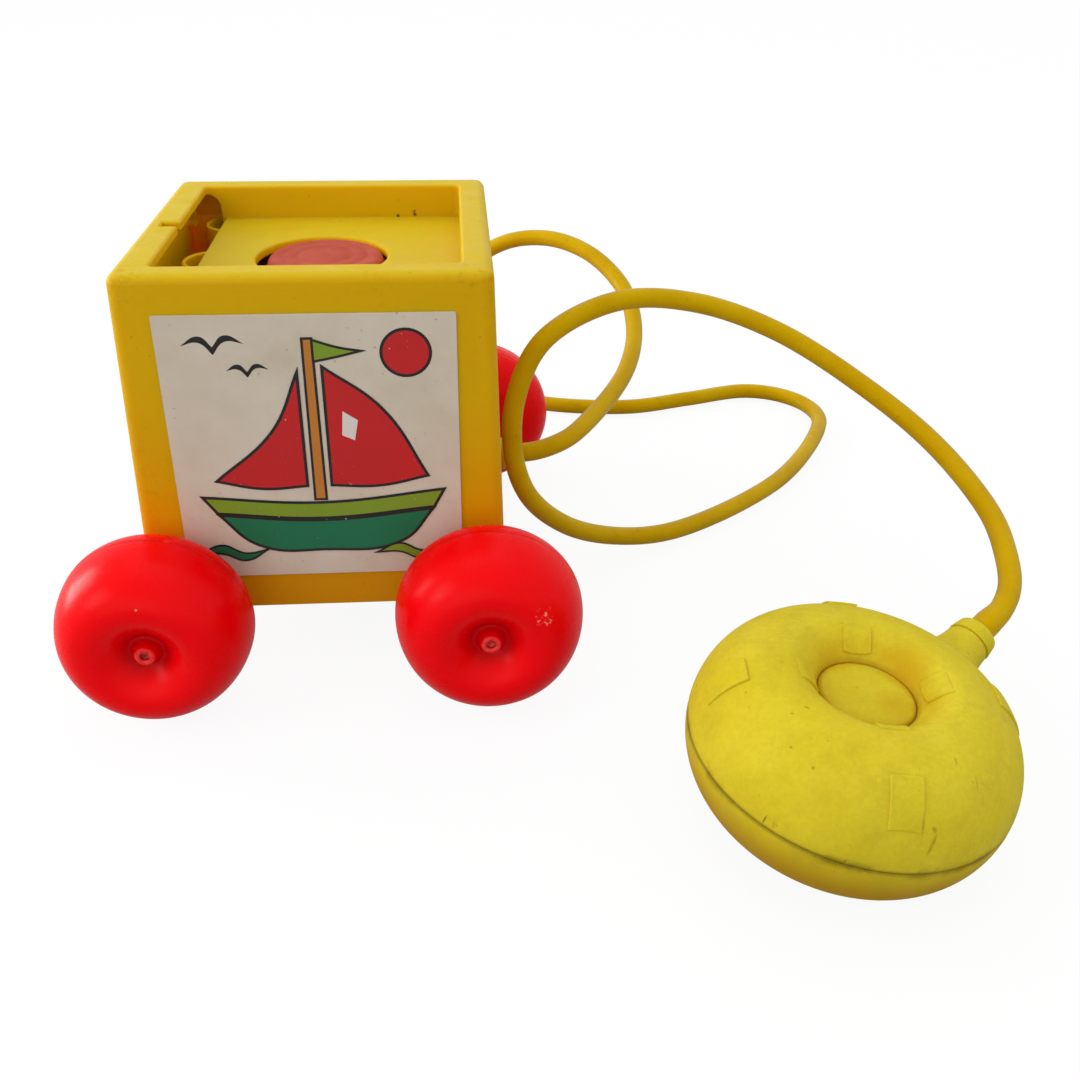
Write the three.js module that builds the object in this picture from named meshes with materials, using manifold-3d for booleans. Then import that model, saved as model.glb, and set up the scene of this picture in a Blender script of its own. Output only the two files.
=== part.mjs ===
// Pull-along activity block: a hollow plastic block on four wheels. Squeezing a rubber bulb blows air
// through a long hose into a bellows, whose red top pops up through the block's deck.
// Millimetres. The origin is the centre of the flat underside.
// +X is the way it is pulled, towards the hose. +Y is the left side and +Z is up.

import * as THREE from 'three';
import { mergeVertices } from 'three/addons/utils/BufferGeometryUtils.js';
import Module from 'manifold-3d';

const wasm = await Module();
wasm.setup();

// Block shell
const blockTop = 100;
const blockHeight = 101;
const draftDegrees = 1.5;
const cornerRadius = 3.2;
const topEdgeRadius = 2.6;
const wallThickness = 2.5;
const rimWidth = 8.5;
const rearFlangeWidth = 9.5;
const rimThickness = 2.5;
const recessDepth = 10.5;
const recessWall = 2;
const recessCorner = 1.5;
const deckThickness = 2.5;
const slotWidth = 5.5;
const popHoleDiameter = 39;
const notchWidth = 4.5;
const notchLength = 5;
const notchOffset = -1.7;
const archWidth = 8.6;
const archBelowTop = 2.7;
const columnDiameter = 19;
const columnWall = 1.3;
const columnBelowDeck = 1;
const columnUnderFlange = 1;
const columnFromOutside = 0.8;

// Base plate and its fasteners
const baseThickness = 3;
const baseClearance = 0.3;
const bossDiameter = 7;
const bossHeight = 21;
const screwSpacing = 44;
const screwDiameter = 2.8;
const screwLength = 12;
const screwHeadDiameter = 5.6;
const screwHeadHeight = 1.6;
const screwSink = 0.2;
const screwClearance = 0.1;

// Axles and wheels
const axleDiameter = 4;
const axleHeight = 6;
const axleInset = 3.2;
const axleTubeWall = 1.6;
const axleClearance = 0.1;
const axleNotchClearance = 0.4;
const wheelDiameter = 54;
const wheelWidth = 34;
const wheelGap = 0.7;
const wheelEquator = 14.5;
const wheelRidgeDiameter = 30;
const wheelBackDiameter = 22;
const wheelSkin = 2;
const wheelDishDepth = 7.2;
const hubDiameter = 12;
const nubDiameter = 8;
const nubEndDiameter = 6.2;
const nubHeight = 4.2;
const axleSink = 1;
const bushClearance = 0.05;

// Labels
const labelSize = 79.5;
const labelBelowTop = 10.4;
const labelThickness = 0.35;
const labelGap = 0.15;

// Pop-up bellows and its air supply
const popDiameter = 34.6;
const popThickness = 6;
const popEdge = 2.4;
const popBelowDeck = 0.1;
const popLooseX = 0.9;
const popLooseY = 1.2;
const bellowsDiameter = 33;
const bellowsValleyDiameter = 26;
const bellowsWall = 1.2;
const bellowsFolds = 6;
const bellowsCuff = 5;
const seatHeight = 40;
const seatDiameter = 32;
const seatThickness = 3;
const spigotDiameter = 20;
const spigotHeight = 9;
const clampDiameter = 29;
const clampHeight = 3.4;
const postDiameter = 15;
const postFootDiameter = 30;
const postFootHeight = 3;
const airBore = 6;
const nippleDiameter = 8;
const nippleBore = 3.5;
const fitGap = 0.3;

// Hose and the socket that it leaves the block by
const hoseDiameter = 6.35;
const hoseHeight = 22.4;
const hoseSides = 8;
const hoseSteps = 76;
const socketFlange = 10.6;
const socketFlangeThickness = 2.5;
const socketNeck = 9;
const socketInside = 4;

// Squeeze bulb
const bulbDiameter = 82.1;
const bulbHeight = 45.3;
const bulbCrestDiameter = 41.8;
const bulbWall = 3;
const dipDiameter = 25.3;
const dipDepth = 6.8;
const dipCurve = 1.8;
const discThickness = 3;
const bulbX = 132.34;
const bulbY = -125.68;
const bulbLeanX = 0.116;
const bulbLeanY = -0.052;
const neckAzimuth = 36.5;
const neckElevation = 23;
const neckReach = 12.45;
const neckEndRise = 12.3;
const neckLength = 20;
const neckDiameter = 12.2;
const neckFlare = 22;
const collarDiameter = 12.2;
const collarLength = 4.2;
const bushLength = 11;
const bushWall = 1;

// The hose's free route, from the socket to the bulb's neck
const hoseRoute = [
  [55.3, 0, 22.4], [64.3, 0.9, 22.6], [73.4, 5.3, 23.4], [80.9, 13.2, 24.4], [101.3, 48.6, 30],
  [108.1, 74.4, 37.5], [106.1, 93.7, 46.8], [94.4, 113.1, 55.1], [78.2, 127, 57.5], [59.7, 137.9, 52.2],
  [43, 143.1, 38.6], [35.6, 143.7, 18.4], [41, 139.9, -2.1], [55.6, 134.2, -14.6], [77, 126.5, -17.3],
  [114.9, 121.2, -17.5], [143.1, 128.4, -17.5], [170.4, 135.8, -17.5], [184, 132.1, -17.5], [193.9, 122.2, -17.5],
  [197.6, 108.6, -17.5], [193.7, 94, -17.5], [164.5, 49.2, -17.5], [118.8, 13.1, -16.7], [96.4, 1.3, -12],
  [75.8, -9, -1.2], [61.9, -15.4, 14.2], [56.6, -16.9, 30.8], [57.6, -14.4, 49.6], [66.3, -8, 65.2],
  [89.6, 1.9, 74], [117.3, 9.5, 70.5], [145.6, 9.6, 60], [170.4, -4, 47.2], [187.9, -27.1, 36.8],
  [196, -55.8, 27.9], [195.1, -71.6, 23.5], [192.4, -82.8, 19.3], [187.6, -89.7, 16.4], [182.9, -93.1, 14.6],
  [179.44, -95.38, 13.11],
];

// Finishes
const yellowPlastic = { color: 0xd9a514, roughness: 0.45, metalness: 0 };
const redPlastic = { color: 0xee1a1e, roughness: 0.28, metalness: 0 };
const redVinyl = { color: 0xcc4a48, roughness: 0.6, metalness: 0 };
const hoseVinyl = { color: 0xdba90f, roughness: 0.4, metalness: 0 };
const bulbRubber = { color: 0xdcc52a, roughness: 0.7, metalness: 0 };
const labelPaper = { color: 0xe4dfd8, roughness: 0.75, metalness: 0 };
const steel = { color: 0x8d8a86, roughness: 0.4, metalness: 1 };

// Values that follow from the dimensions
const draft = Math.tan(THREE.MathUtils.degToRad(draftDegrees));
const outerHalf = (z) => blockTop / 2 + (blockHeight - z) * draft;
const innerHalf = (z) => outerHalf(z) - wallThickness;
const deckTop = blockHeight - recessDepth;
const deckUnder = deckTop - deckThickness;
const recessHalf = blockTop / 2 - rimWidth;
const flangeEdge = -(blockTop / 2 - rearFlangeWidth);
const deckEdge = flangeEdge + slotWidth;
const baseHalf = innerHalf(baseThickness) - baseClearance;
const axleRadius = axleDiameter / 2;
const axleX = innerHalf(0) - axleInset;
const axleTubeRadius = axleRadius + axleClearance + axleTubeWall;
const wheelRadius = wheelDiameter / 2;
const ground = axleHeight - wheelRadius;
const screwY = innerHalf(baseThickness) - bossDiameter / 2;
const overlap = 0.6;
const beyond = 10;

const toy = new THREE.Group();

function addPiece(parent, name, geometry, finish) {
  const mesh = new THREE.Mesh(geometry, new THREE.MeshStandardMaterial(finish));
  mesh.name = name;
  parent.add(mesh);
  return mesh;
}

// Merges shared corners, drops collapsed triangles and turns the faces outwards
function closed(source) {
  const bare = source.clone();
  bare.deleteAttribute('normal');
  bare.deleteAttribute('uv');
  const merged = mergeVertices(bare, 1e-4);
  const corner = [0, 1, 2].map(() => new THREE.Vector3());
  const indices = merged.index.array;
  const kept = [];
  let volume = 0;
  for (let i = 0; i < indices.length; i += 3) {
    const triangle = [indices[i], indices[i + 1], indices[i + 2]];
    if (new Set(triangle).size < 3) continue;
    triangle.forEach((vertex, k) => corner[k].fromBufferAttribute(merged.attributes.position, vertex));
    volume += corner[0].dot(corner[1].cross(corner[2]));
    kept.push(triangle);
  }
  if (volume < 0) kept.forEach((triangle) => triangle.reverse());
  merged.setIndex(kept.flat());
  merged.computeVertexNormals();
  return merged;
}

function toSolid(geometry) {
  const shape = closed(geometry);
  return new wasm.Manifold(new wasm.Mesh({
    numProp: 3,
    vertProperties: new Float32Array(shape.attributes.position.array),
    triVerts: new Uint32Array(shape.index.array),
  }));
}

function toGeometry(solid) {
  const mesh = solid.getMesh();
  const geometry = new THREE.BufferGeometry();
  geometry.setAttribute('position', new THREE.BufferAttribute(mesh.vertProperties, 3));
  geometry.setIndex(new THREE.BufferAttribute(mesh.triVerts, 1));
  geometry.computeVertexNormals();
  return geometry;
}

function boxSolid(low, high) {
  const box = new THREE.BoxGeometry(high[0] - low[0], high[1] - low[1], high[2] - low[2]);
  box.translate((low[0] + high[0]) / 2, (low[1] + high[1]) / 2, (low[2] + high[2]) / 2);
  return toSolid(box);
}

// A cylinder from one point to another
function rodSolid(from, to, radius, sides = 20, endRadius = radius) {
  const start = new THREE.Vector3(...from);
  const way = new THREE.Vector3(...to).sub(start);
  const rod = new THREE.CylinderGeometry(endRadius, radius, way.length(), sides);
  rod.translate(0, way.length() / 2, 0);
  rod.applyQuaternion(new THREE.Quaternion().setFromUnitVectors(new THREE.Vector3(0, 1, 0), way.normalize()));
  rod.translate(start.x, start.y, start.z);
  return toSolid(rod);
}

function squareOutline(half, radius, steps = 4) {
  const points = [];
  for (let quarter = 0; quarter < 4; quarter += 1) {
    const middle = new THREE.Vector2(half - radius, half - radius);
    middle.rotateAround(new THREE.Vector2(), quarter * Math.PI / 2);
    for (let i = 0; i <= steps; i += 1) {
      const angle = (quarter + i / steps) * Math.PI / 2;
      points.push(new THREE.Vector2(Math.cos(angle), Math.sin(angle)).multiplyScalar(radius).add(middle));
    }
  }
  return points;
}

// Skins a stack of outlines that have the same number of points
function loftSolid(sections) {
  const count = sections[0].outline.length;
  const positions = [];
  const indices = [];
  sections.forEach(({ outline, z }) => outline.forEach((point) => positions.push(point.x, point.y, z)));
  for (let row = 0; row < sections.length - 1; row += 1) {
    for (let i = 0; i < count; i += 1) {
      const a = row * count + i;
      const b = row * count + (i + 1) % count;
      indices.push(a, b, b + count, a, b + count, a + count);
    }
  }
  const last = (sections.length - 1) * count;
  for (let i = 1; i < count - 1; i += 1) {
    indices.push(0, i + 1, i);
    indices.push(last, last + i, last + i + 1);
  }
  const geometry = new THREE.BufferGeometry();
  geometry.setAttribute('position', new THREE.Float32BufferAttribute(positions, 3));
  geometry.setIndex(indices);
  return toSolid(geometry);
}

// Points of an elliptical arc, as radius and height, from one angle to another
function arc(centreR, centreH, halfR, halfH, fromDegrees, toDegrees, steps) {
  const points = [];
  for (let i = 0; i <= steps; i += 1) {
    const angle = THREE.MathUtils.degToRad(fromDegrees + (toDegrees - fromDegrees) * i / steps);
    points.push([centreR + halfR * Math.cos(angle), centreH + halfH * Math.sin(angle)]);
  }
  return points;
}

// Revolves a profile of radius and height points; its axis is Z
function turned(profile, sides) {
  const points = profile.map(([radius, height]) => new THREE.Vector2(radius, height));
  const onAxis = profile[0][0] === 0 && profile[profile.length - 1][0] === 0;
  if (!onAxis) points.push(points[0].clone());
  const geometry = new THREE.LatheGeometry(points, sides);
  geometry.rotateX(Math.PI / 2);
  return closed(geometry);
}

function makeShell() {
  const outerSections = [
    { outline: squareOutline(outerHalf(0), cornerRadius), z: 0 },
    { outline: squareOutline(outerHalf(blockHeight - topEdgeRadius), cornerRadius), z: blockHeight - topEdgeRadius },
  ];
  [30, 60, 90].forEach((degrees) => {
    const angle = THREE.MathUtils.degToRad(degrees);
    const inset = topEdgeRadius * (1 - Math.cos(angle));
    const z = blockHeight - topEdgeRadius * (1 - Math.sin(angle));
    outerSections.push({ outline: squareOutline(outerHalf(z) - inset, cornerRadius), z });
  });
  const innerRadius = Math.max(cornerRadius - wallThickness, 0.5);
  const ceiling = blockHeight - rimThickness;
  let hollow = loftSolid([
    { outline: squareOutline(innerHalf(-beyond), innerRadius), z: -beyond },
    { outline: squareOutline(innerHalf(ceiling), innerRadius), z: ceiling },
  ]);
  const wallOuter = recessHalf + recessWall;
  hollow = hollow.subtract(boxSolid([deckEdge, -wallOuter, deckUnder], [wallOuter, wallOuter, blockHeight]));
  [-1, 1].forEach((side) => {
    const low = Math.min(side * recessHalf, side * wallOuter);
    const strip = boxSolid([-blockTop, low, deckUnder], [deckEdge + overlap, low + recessWall, blockHeight]);
    hollow = hollow.subtract(strip);
  });
  let shell = loftSolid(outerSections).subtract(hollow);

  const recessMiddle = (recessHalf + flangeEdge) / 2;
  const recess = new THREE.Shape();
  const left = flangeEdge - recessMiddle;
  recess.moveTo(left + recessCorner, -recessHalf);
  recess.absarc(-left - recessCorner, -recessHalf + recessCorner, recessCorner, -Math.PI / 2, 0);
  recess.absarc(-left - recessCorner, recessHalf - recessCorner, recessCorner, 0, Math.PI / 2);
  recess.absarc(left + recessCorner, recessHalf - recessCorner, recessCorner, Math.PI / 2, Math.PI);
  recess.absarc(left + recessCorner, -recessHalf + recessCorner, recessCorner, Math.PI, Math.PI * 1.5);
  const recessCut = new THREE.ExtrudeGeometry(recess, { depth: recessDepth + beyond, bevelEnabled: false, curveSegments: 3 });
  recessCut.translate(recessMiddle, 0, deckTop);
  shell = shell.subtract(toSolid(recessCut));
  shell = shell.subtract(rodSolid([0, 0, deckUnder - beyond], [0, 0, deckTop + beyond], popHoleDiameter / 2, 40));
  const notchLow = notchOffset - notchWidth / 2;
  shell = shell.subtract(boxSolid(
    [flangeEdge - notchLength, notchLow, ceiling - overlap],
    [flangeEdge + overlap, notchLow + notchWidth, blockHeight + overlap],
  ));

  // Round-topped openings in the recess walls, one at each end of the slot
  const archTop = blockHeight - archBelowTop - archWidth / 2;
  const archDepth = recessWall + 2 * overlap;
  [-1, 1].forEach((side) => {
    const middle = side * (recessHalf + recessWall / 2);
    shell = shell.subtract(boxSolid(
      [flangeEdge - archWidth / 2, middle - archDepth / 2, deckUnder - overlap],
      [flangeEdge + archWidth / 2, middle + archDepth / 2, archTop],
    ));
    const from = [flangeEdge, middle - archDepth / 2, archTop];
    const to = [flangeEdge, middle + archDepth / 2, archTop];
    shell = shell.subtract(rodSolid(from, to, archWidth / 2, 20));
  });

  // Open columns that hang from the deck and show in the slot
  const columnTop = deckTop - columnBelowDeck;
  const columnX = flangeEdge - columnUnderFlange + columnDiameter / 2;
  const columnFoot = baseThickness + baseClearance;
  const lastColumn = outerHalf(columnTop) - columnFromOutside - columnDiameter / 2;
  [-lastColumn, 0, lastColumn].forEach((y) => {
    const tube = rodSolid([columnX, y, columnFoot], [columnX, y, columnTop], columnDiameter / 2, 24);
    const bore = columnDiameter / 2 - columnWall;
    shell = shell.add(tube.subtract(rodSolid([columnX, y, -beyond], [columnX, y, blockHeight], bore, 24)));
  });

  // Screw bosses on the side walls, then the holes for hose and axles
  const bossFoot = baseThickness + baseClearance;
  screwPlaces().forEach(([x, y]) => {
    shell = shell.add(rodSolid([x, y, bossFoot], [x, y, bossFoot + bossHeight], bossDiameter / 2, 16));
    const pilot = screwDiameter / 2 + screwClearance;
    shell = shell.subtract(rodSolid([x, y, bossFoot - overlap], [x, y, screwTip() + screwClearance], pilot, 12));
  });
  const socketHole = socketNeck / 2 + fitGap;
  shell = shell.subtract(rodSolid([blockTop / 4, 0, hoseHeight], [blockTop, 0, hoseHeight], socketHole));
  const axleNotch = axleRadius + axleNotchClearance;
  [-1, 1].forEach((end) => [-1, 1].forEach((side) => {
    const x = end * axleX;
    const inner = side * (innerHalf(axleHeight) - overlap);
    const outer = side * (outerHalf(0) + beyond);
    const low = [x - axleNotch, Math.min(inner, outer), -beyond];
    shell = shell.subtract(boxSolid(low, [x + axleNotch, Math.max(inner, outer), axleHeight]));
    shell = shell.subtract(rodSolid([x, inner, axleHeight], [x, outer, axleHeight], axleNotch, 20));
  }));
  return toGeometry(shell);
}

function screwPlaces() {
  const x = screwSpacing / 2;
  return [[x, -screwY], [x, screwY], [-x, -screwY], [-x, screwY]];
}

function screwTip() {
  return screwSink + screwHeadHeight + screwLength;
}

function makeBase() {
  let base = loftSolid([
    { outline: squareOutline(baseHalf, 1), z: 0 },
    { outline: squareOutline(baseHalf, 1), z: baseThickness },
  ]);
  // An axle tube along each end, on a web that joins it to the plate
  const tubeHalf = baseHalf - cornerRadius / 2;
  [-1, 1].forEach((end) => {
    const x = end * axleX;
    let tube = rodSolid([x, -tubeHalf, axleHeight], [x, tubeHalf, axleHeight], axleTubeRadius);
    const webLow = [x - axleTubeRadius, -tubeHalf, overlap];
    tube = tube.add(boxSolid(webLow, [x + axleTubeRadius, tubeHalf, axleHeight]));
    const past = [end * baseHalf, end * blockTop];
    const cutLow = [Math.min(...past), -blockTop, -beyond];
    tube = tube.subtract(boxSolid(cutLow, [Math.max(...past), blockTop, axleHeight + beyond]));
    base = base.add(tube);
    const bore = axleRadius + axleClearance;
    base = base.subtract(rodSolid([x, -blockTop, axleHeight], [x, blockTop, axleHeight], bore));
  });
  screwPlaces().forEach(([x, y]) => {
    const shank = screwDiameter / 2 + screwClearance;
    const head = screwHeadDiameter / 2 + screwClearance;
    base = base.subtract(rodSolid([x, y, -overlap], [x, y, baseThickness + overlap], shank, 12));
    base = base.subtract(rodSolid([x, y, -overlap], [x, y, screwSink + screwHeadHeight + screwClearance], head, 12));
  });
  return toGeometry(base);
}

function makeScrew() {
  const head = screwHeadDiameter / 2;
  const shank = screwDiameter / 2;
  const neck = screwSink + screwHeadHeight;
  return turned([
    [0, screwSink], [head, screwSink], [head, neck], [shank, neck],
    [shank, screwTip() - shank], [0, screwTip()],
  ], 12);
}

// One hollow wheel with its axis along Z, its back at 0 and its dished face outwards
function makeWheel() {
  const ridge = wheelRidgeDiameter / 2;
  const backFace = wheelBackDiameter / 2;
  const nub = nubDiameter / 2;
  const hub = hubDiameter / 2;
  const bore = axleRadius + bushClearance;
  const crown = wheelWidth - wheelEquator;
  const dishFloor = wheelWidth - wheelDishDepth;
  const nubEnd = dishFloor + nubHeight;
  const back = arc(backFace, wheelEquator, wheelRadius - backFace, wheelEquator, -90, 0, 4);
  const front = arc(ridge, wheelEquator, wheelRadius - ridge, crown, 0, 90, 5);
  const dish = [0.75, 0.5, 0.25, 0].map((part) => [
    nub + (ridge - nub) * part,
    dishFloor + wheelDishDepth * (1 - Math.cos(part * Math.PI)) / 2,
  ]);
  const insideFront = arc(ridge, wheelEquator, wheelRadius - ridge - wheelSkin, crown - wheelSkin, 90, 0, 3);
  const insideBack = arc(backFace, wheelEquator, wheelRadius - backFace - wheelSkin, wheelEquator - wheelSkin, 0, -90, 3);
  return turned([
    [bore, 2 * wheelSkin], [bore, 0], ...back, ...front.slice(1), ...dish,
    [nubEndDiameter / 2, nubEnd], [bore, nubEnd], [bore, dishFloor - 2 * wheelSkin], [hub, dishFloor - 2 * wheelSkin],
    ...insideFront, ...insideBack.slice(1), [hub, 2 * wheelSkin],
  ], 28);
}

function makeLabel() {
  return new THREE.BoxGeometry(labelSize, labelThickness, labelSize);
}

function makePopTop() {
  const radius = popDiameter / 2;
  const edge = arc(radius - popEdge, popThickness - popEdge, popEdge, popEdge, 0, 90, 4);
  return turned([[0, 0], [radius - popEdge / 2, 0], [radius, popEdge / 2], ...edge, [0, popThickness]], 32);
}

// Folds of the bellows, open at both ends, with a cuff that grips the spigot
function makeBellows(foot, top) {
  const crest = bellowsDiameter / 2;
  const valley = bellowsValleyDiameter / 2;
  const cuff = spigotDiameter / 2 + fitGap + bellowsWall;
  const pitch = (top - foot - bellowsCuff) / bellowsFolds;
  const outside = [[cuff, foot], [cuff, foot + bellowsCuff - pitch / 4]];
  for (let fold = 0; fold < bellowsFolds; fold += 1) {
    const low = foot + bellowsCuff + fold * pitch;
    outside.push([valley, low], [crest, low + pitch / 2]);
  }
  outside.push([valley, top]);
  const inside = outside.map(([radius, height]) => [radius - bellowsWall, height]).reverse();
  return turned([...outside, ...inside], 24);
}

function makeClamp() {
  const inner = spigotDiameter / 2 + fitGap + bellowsWall + fitGap;
  const outer = clampDiameter / 2;
  return turned([[inner, 0], [outer, 0], [outer, clampHeight], [inner, clampHeight]], 36);
}

function makeAirPost(nippleEnd) {
  const foot = baseThickness;
  const spigotTop = seatHeight + spigotHeight;
  let post = rodSolid([0, 0, foot], [0, 0, spigotTop], postDiameter / 2);
  post = post.add(rodSolid([0, 0, foot], [0, 0, foot + postFootHeight], postFootDiameter / 2));
  post = post.add(rodSolid([0, 0, seatHeight - seatThickness], [0, 0, seatHeight], seatDiameter / 2, 36));
  post = post.add(rodSolid([0, 0, seatHeight - overlap], [0, 0, spigotTop], spigotDiameter / 2, 36));
  post = post.add(rodSolid([0, 0, hoseHeight], [nippleEnd, 0, hoseHeight], nippleDiameter / 2));
  post = post.subtract(rodSolid([0, 0, hoseHeight - airBore / 2], [0, 0, spigotTop + overlap], airBore / 2, 16));
  return toGeometry(post.subtract(rodSolid([0, 0, hoseHeight], [nippleEnd + overlap, 0, hoseHeight], nippleBore / 2, 12)));
}

// A flanged bush with its axis along Z, its flange above 0 and its neck below
function makeSocket() {
  const bore = nippleBore / 2;
  const neck = socketNeck / 2;
  const flange = socketFlange / 2;
  const soft = socketFlangeThickness / 3;
  return turned([
    [bore, -wallThickness - socketInside], [neck, -wallThickness - socketInside], [neck, 0], [flange, 0],
    [flange, socketFlangeThickness - soft], [flange - soft, socketFlangeThickness], [bore, socketFlangeThickness],
  ], 28);
}

function makeHose() {
  const curve = new THREE.CatmullRomCurve3(hoseRoute.map((point) => new THREE.Vector3(...point)));
  const section = new THREE.Shape();
  for (let i = 0; i < hoseSides; i += 1) {
    const angle = i / hoseSides * 2 * Math.PI;
    const x = hoseDiameter / 2 * Math.cos(angle);
    const y = hoseDiameter / 2 * Math.sin(angle);
    if (i === 0) section.moveTo(x, y);
    else section.lineTo(x, y);
  }
  section.closePath();
  return closed(new THREE.ExtrudeGeometry(section, { steps: hoseSteps, bevelEnabled: false, extrudePath: curve }));
}

// The bulb's outer and inner profile above or below its seam, as distance from the seam
function bulbProfile(skin, fromSeam) {
  const crest = bulbCrestDiameter / 2;
  const half = bulbHeight / 2;
  const dip = dipDiameter / 2;
  const shoulder = arc(crest, fromSeam, bulbDiameter / 2 - crest - skin, half - skin - fromSeam, 0, 90, 5);
  const funnel = [1 / 3, 2 / 3, 1].map((part) => [
    crest - (crest - dip - skin) * part,
    half - skin - (dipDepth - skin) * part ** dipCurve,
  ]);
  return [...shoulder, ...funnel];
}

const neckTurn = THREE.MathUtils.degToRad(neckAzimuth);
const neckRise = THREE.MathUtils.degToRad(neckElevation);

// A point on the neck's axis, at a distance back from its end
function neckPoint(back) {
  const radius = bulbDiameter / 2 + neckReach - back * Math.cos(neckRise);
  const height = neckEndRise - back * Math.sin(neckRise);
  return [radius * Math.cos(neckTurn), radius * Math.sin(neckTurn), height];
}

function makeBulbUpper() {
  const dipFloor = bulbHeight / 2 - dipDepth;
  const sleeve = dipFloor - discThickness - fitGap;
  const dip = dipDiameter / 2;
  const outside = bulbProfile(0, fitGap / 2);
  const inside = bulbProfile(bulbWall, fitGap / 2).reverse();
  const dome = toSolid(turned([...outside, [dip, sleeve], [dip + bulbWall, sleeve], ...inside], 36));
  const seamFloor = boxSolid([-bulbDiameter, -bulbDiameter, -bulbDiameter], [bulbDiameter, bulbDiameter, fitGap / 2]);
  const dipWell = rodSolid([0, 0, sleeve - overlap], [0, 0, bulbHeight], dip + bulbWall / 2);
  const collarSeat = collarLength + fitGap;
  let neck = rodSolid(neckPoint(neckLength), neckPoint(collarSeat), neckDiameter / 2);
  neck = neck.add(rodSolid(neckPoint(neckLength), neckPoint(neckLength / 2.4), neckFlare / 2, 24, neckDiameter / 2));
  const inner = toSolid(turned([[0, 0], ...bulbProfile(bulbWall, 0), [0, dipFloor]], 36));
  neck = neck.subtract(seamFloor).subtract(inner).subtract(dipWell);
  const bore = hoseDiameter / 2 + fitGap;
  const upper = dome.add(neck);
  return toGeometry(upper.subtract(rodSolid(neckPoint(neckLength + beyond), neckPoint(0), bore, 16)));
}

function makeBulbLower() {
  const dipFloor = bulbHeight / 2 - dipDepth;
  const outside = bulbProfile(0, fitGap / 2);
  const inside = bulbProfile(bulbWall, fitGap / 2).reverse();
  const roof = [dipDiameter / 2 + bulbWall, dipFloor - bulbWall];
  const lower = turned([[0, dipFloor], ...outside.reverse(), ...inside.reverse(), roof, [0, roof[1]]], 36);
  lower.rotateX(Math.PI);
  return lower;
}

function makeDisc() {
  const radius = dipDiameter / 2 - fitGap;
  const round = discThickness / 4;
  return turned([[0, 0], [radius, 0], [radius, discThickness - round], [radius - round, discThickness], [0, discThickness]], 32);
}

// A ring from one point of the neck's axis to another, nearer to its end
function neckRing(back, front, inner, outer) {
  const ring = rodSolid(neckPoint(back), neckPoint(front), outer / 2);
  return toGeometry(ring.subtract(rodSolid(neckPoint(back + beyond), neckPoint(front - beyond), inner / 2, 16)));
}

addPiece(toy, 'block_shell', makeShell(), yellowPlastic);
addPiece(toy, 'base_plate', makeBase(), yellowPlastic);
screwPlaces().forEach(([x, y], i) => {
  addPiece(toy, `base_screw_${i + 1}`, makeScrew(), steel).position.set(x, y, 0);
});

const wheelBack = outerHalf(0) + wheelGap;
const nubEnd = wheelBack + wheelWidth - wheelDishDepth + nubHeight;
[['rear', -1], ['front', 1]].forEach(([end, way]) => {
  const axleSet = new THREE.Group();
  axleSet.position.set(way * axleX, 0, axleHeight);
  toy.add(axleSet);
  const axleLength = 2 * (nubEnd - axleSink);
  addPiece(axleSet, `${end}_axle`, new THREE.CylinderGeometry(axleRadius, axleRadius, axleLength, 16), steel);
  [['left', 1], ['right', -1]].forEach(([side, out]) => {
    const wheel = addPiece(axleSet, `${end}_${side}_wheel`, makeWheel(), redPlastic);
    wheel.position.y = out * wheelBack;
    wheel.rotation.x = -out * Math.PI / 2;
  });
});

const labelHeight = blockHeight - labelBelowTop - labelSize / 2;
const labelOut = outerHalf(labelHeight) + labelGap + labelThickness / 2;
[['right_label', 0], ['left_label', Math.PI], ['rear_label', -Math.PI / 2]].forEach(([name, turn]) => {
  const face = new THREE.Group();
  face.rotation.z = turn;
  toy.add(face);
  const label = addPiece(face, name, makeLabel(), labelPaper);
  label.position.set(0, -labelOut, labelHeight);
  label.rotation.x = -THREE.MathUtils.degToRad(draftDegrees);
});

const popFoot = deckTop - popBelowDeck - popThickness;
addPiece(toy, 'bellows_top', makePopTop(), redVinyl).position.set(popLooseX, popLooseY, popFoot);
addPiece(toy, 'bellows_folds', makeBellows(seatHeight + fitGap, popFoot - fitGap), redVinyl);
addPiece(toy, 'bellows_clamp', makeClamp(), steel).position.z = seatHeight + fitGap;
const socketX = outerHalf(hoseHeight - socketFlange / 2) + fitGap / 2;
addPiece(toy, 'air_post', makeAirPost(socketX - wallThickness - socketInside - fitGap), yellowPlastic);
const socket = addPiece(toy, 'hose_socket', makeSocket(), yellowPlastic);
socket.position.set(socketX, 0, hoseHeight);
socket.rotation.y = Math.PI / 2;
addPiece(toy, 'hose', makeHose(), hoseVinyl);

const bulb = new THREE.Group();
const lean = new THREE.Vector3(bulbLeanX, bulbLeanY, 1).normalize();
bulb.quaternion.setFromUnitVectors(new THREE.Vector3(0, 0, 1), lean);
const bulbLower = makeBulbLower();
const resting = bulbLower.clone().applyQuaternion(bulb.quaternion);
resting.computeBoundingBox();
bulb.position.set(bulbX, bulbY, 0).addScaledVector(lean, bulbHeight / 2);
bulb.position.z = ground - resting.boundingBox.min.z;
toy.add(bulb);
addPiece(bulb, 'bulb_upper', makeBulbUpper(), bulbRubber);
addPiece(bulb, 'bulb_lower', bulbLower, bulbRubber);
addPiece(bulb, 'bulb_press_disc', makeDisc(), bulbRubber).position.z = bulbHeight / 2 - dipDepth - discThickness;
addPiece(bulb, 'neck_collar', neckRing(collarLength, 0, hoseDiameter + 2 * fitGap, collarDiameter), bulbRubber);
const bushOuter = hoseDiameter;
const bushBack = collarLength + fitGap + bushLength;
addPiece(bulb, 'neck_bush', neckRing(bushBack, collarLength + fitGap, bushOuter - 2 * bushWall, bushOuter), yellowPlastic);

export default toy;
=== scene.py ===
import math
import bmesh
import bpy
from mathutils import Matrix, Vector


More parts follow.
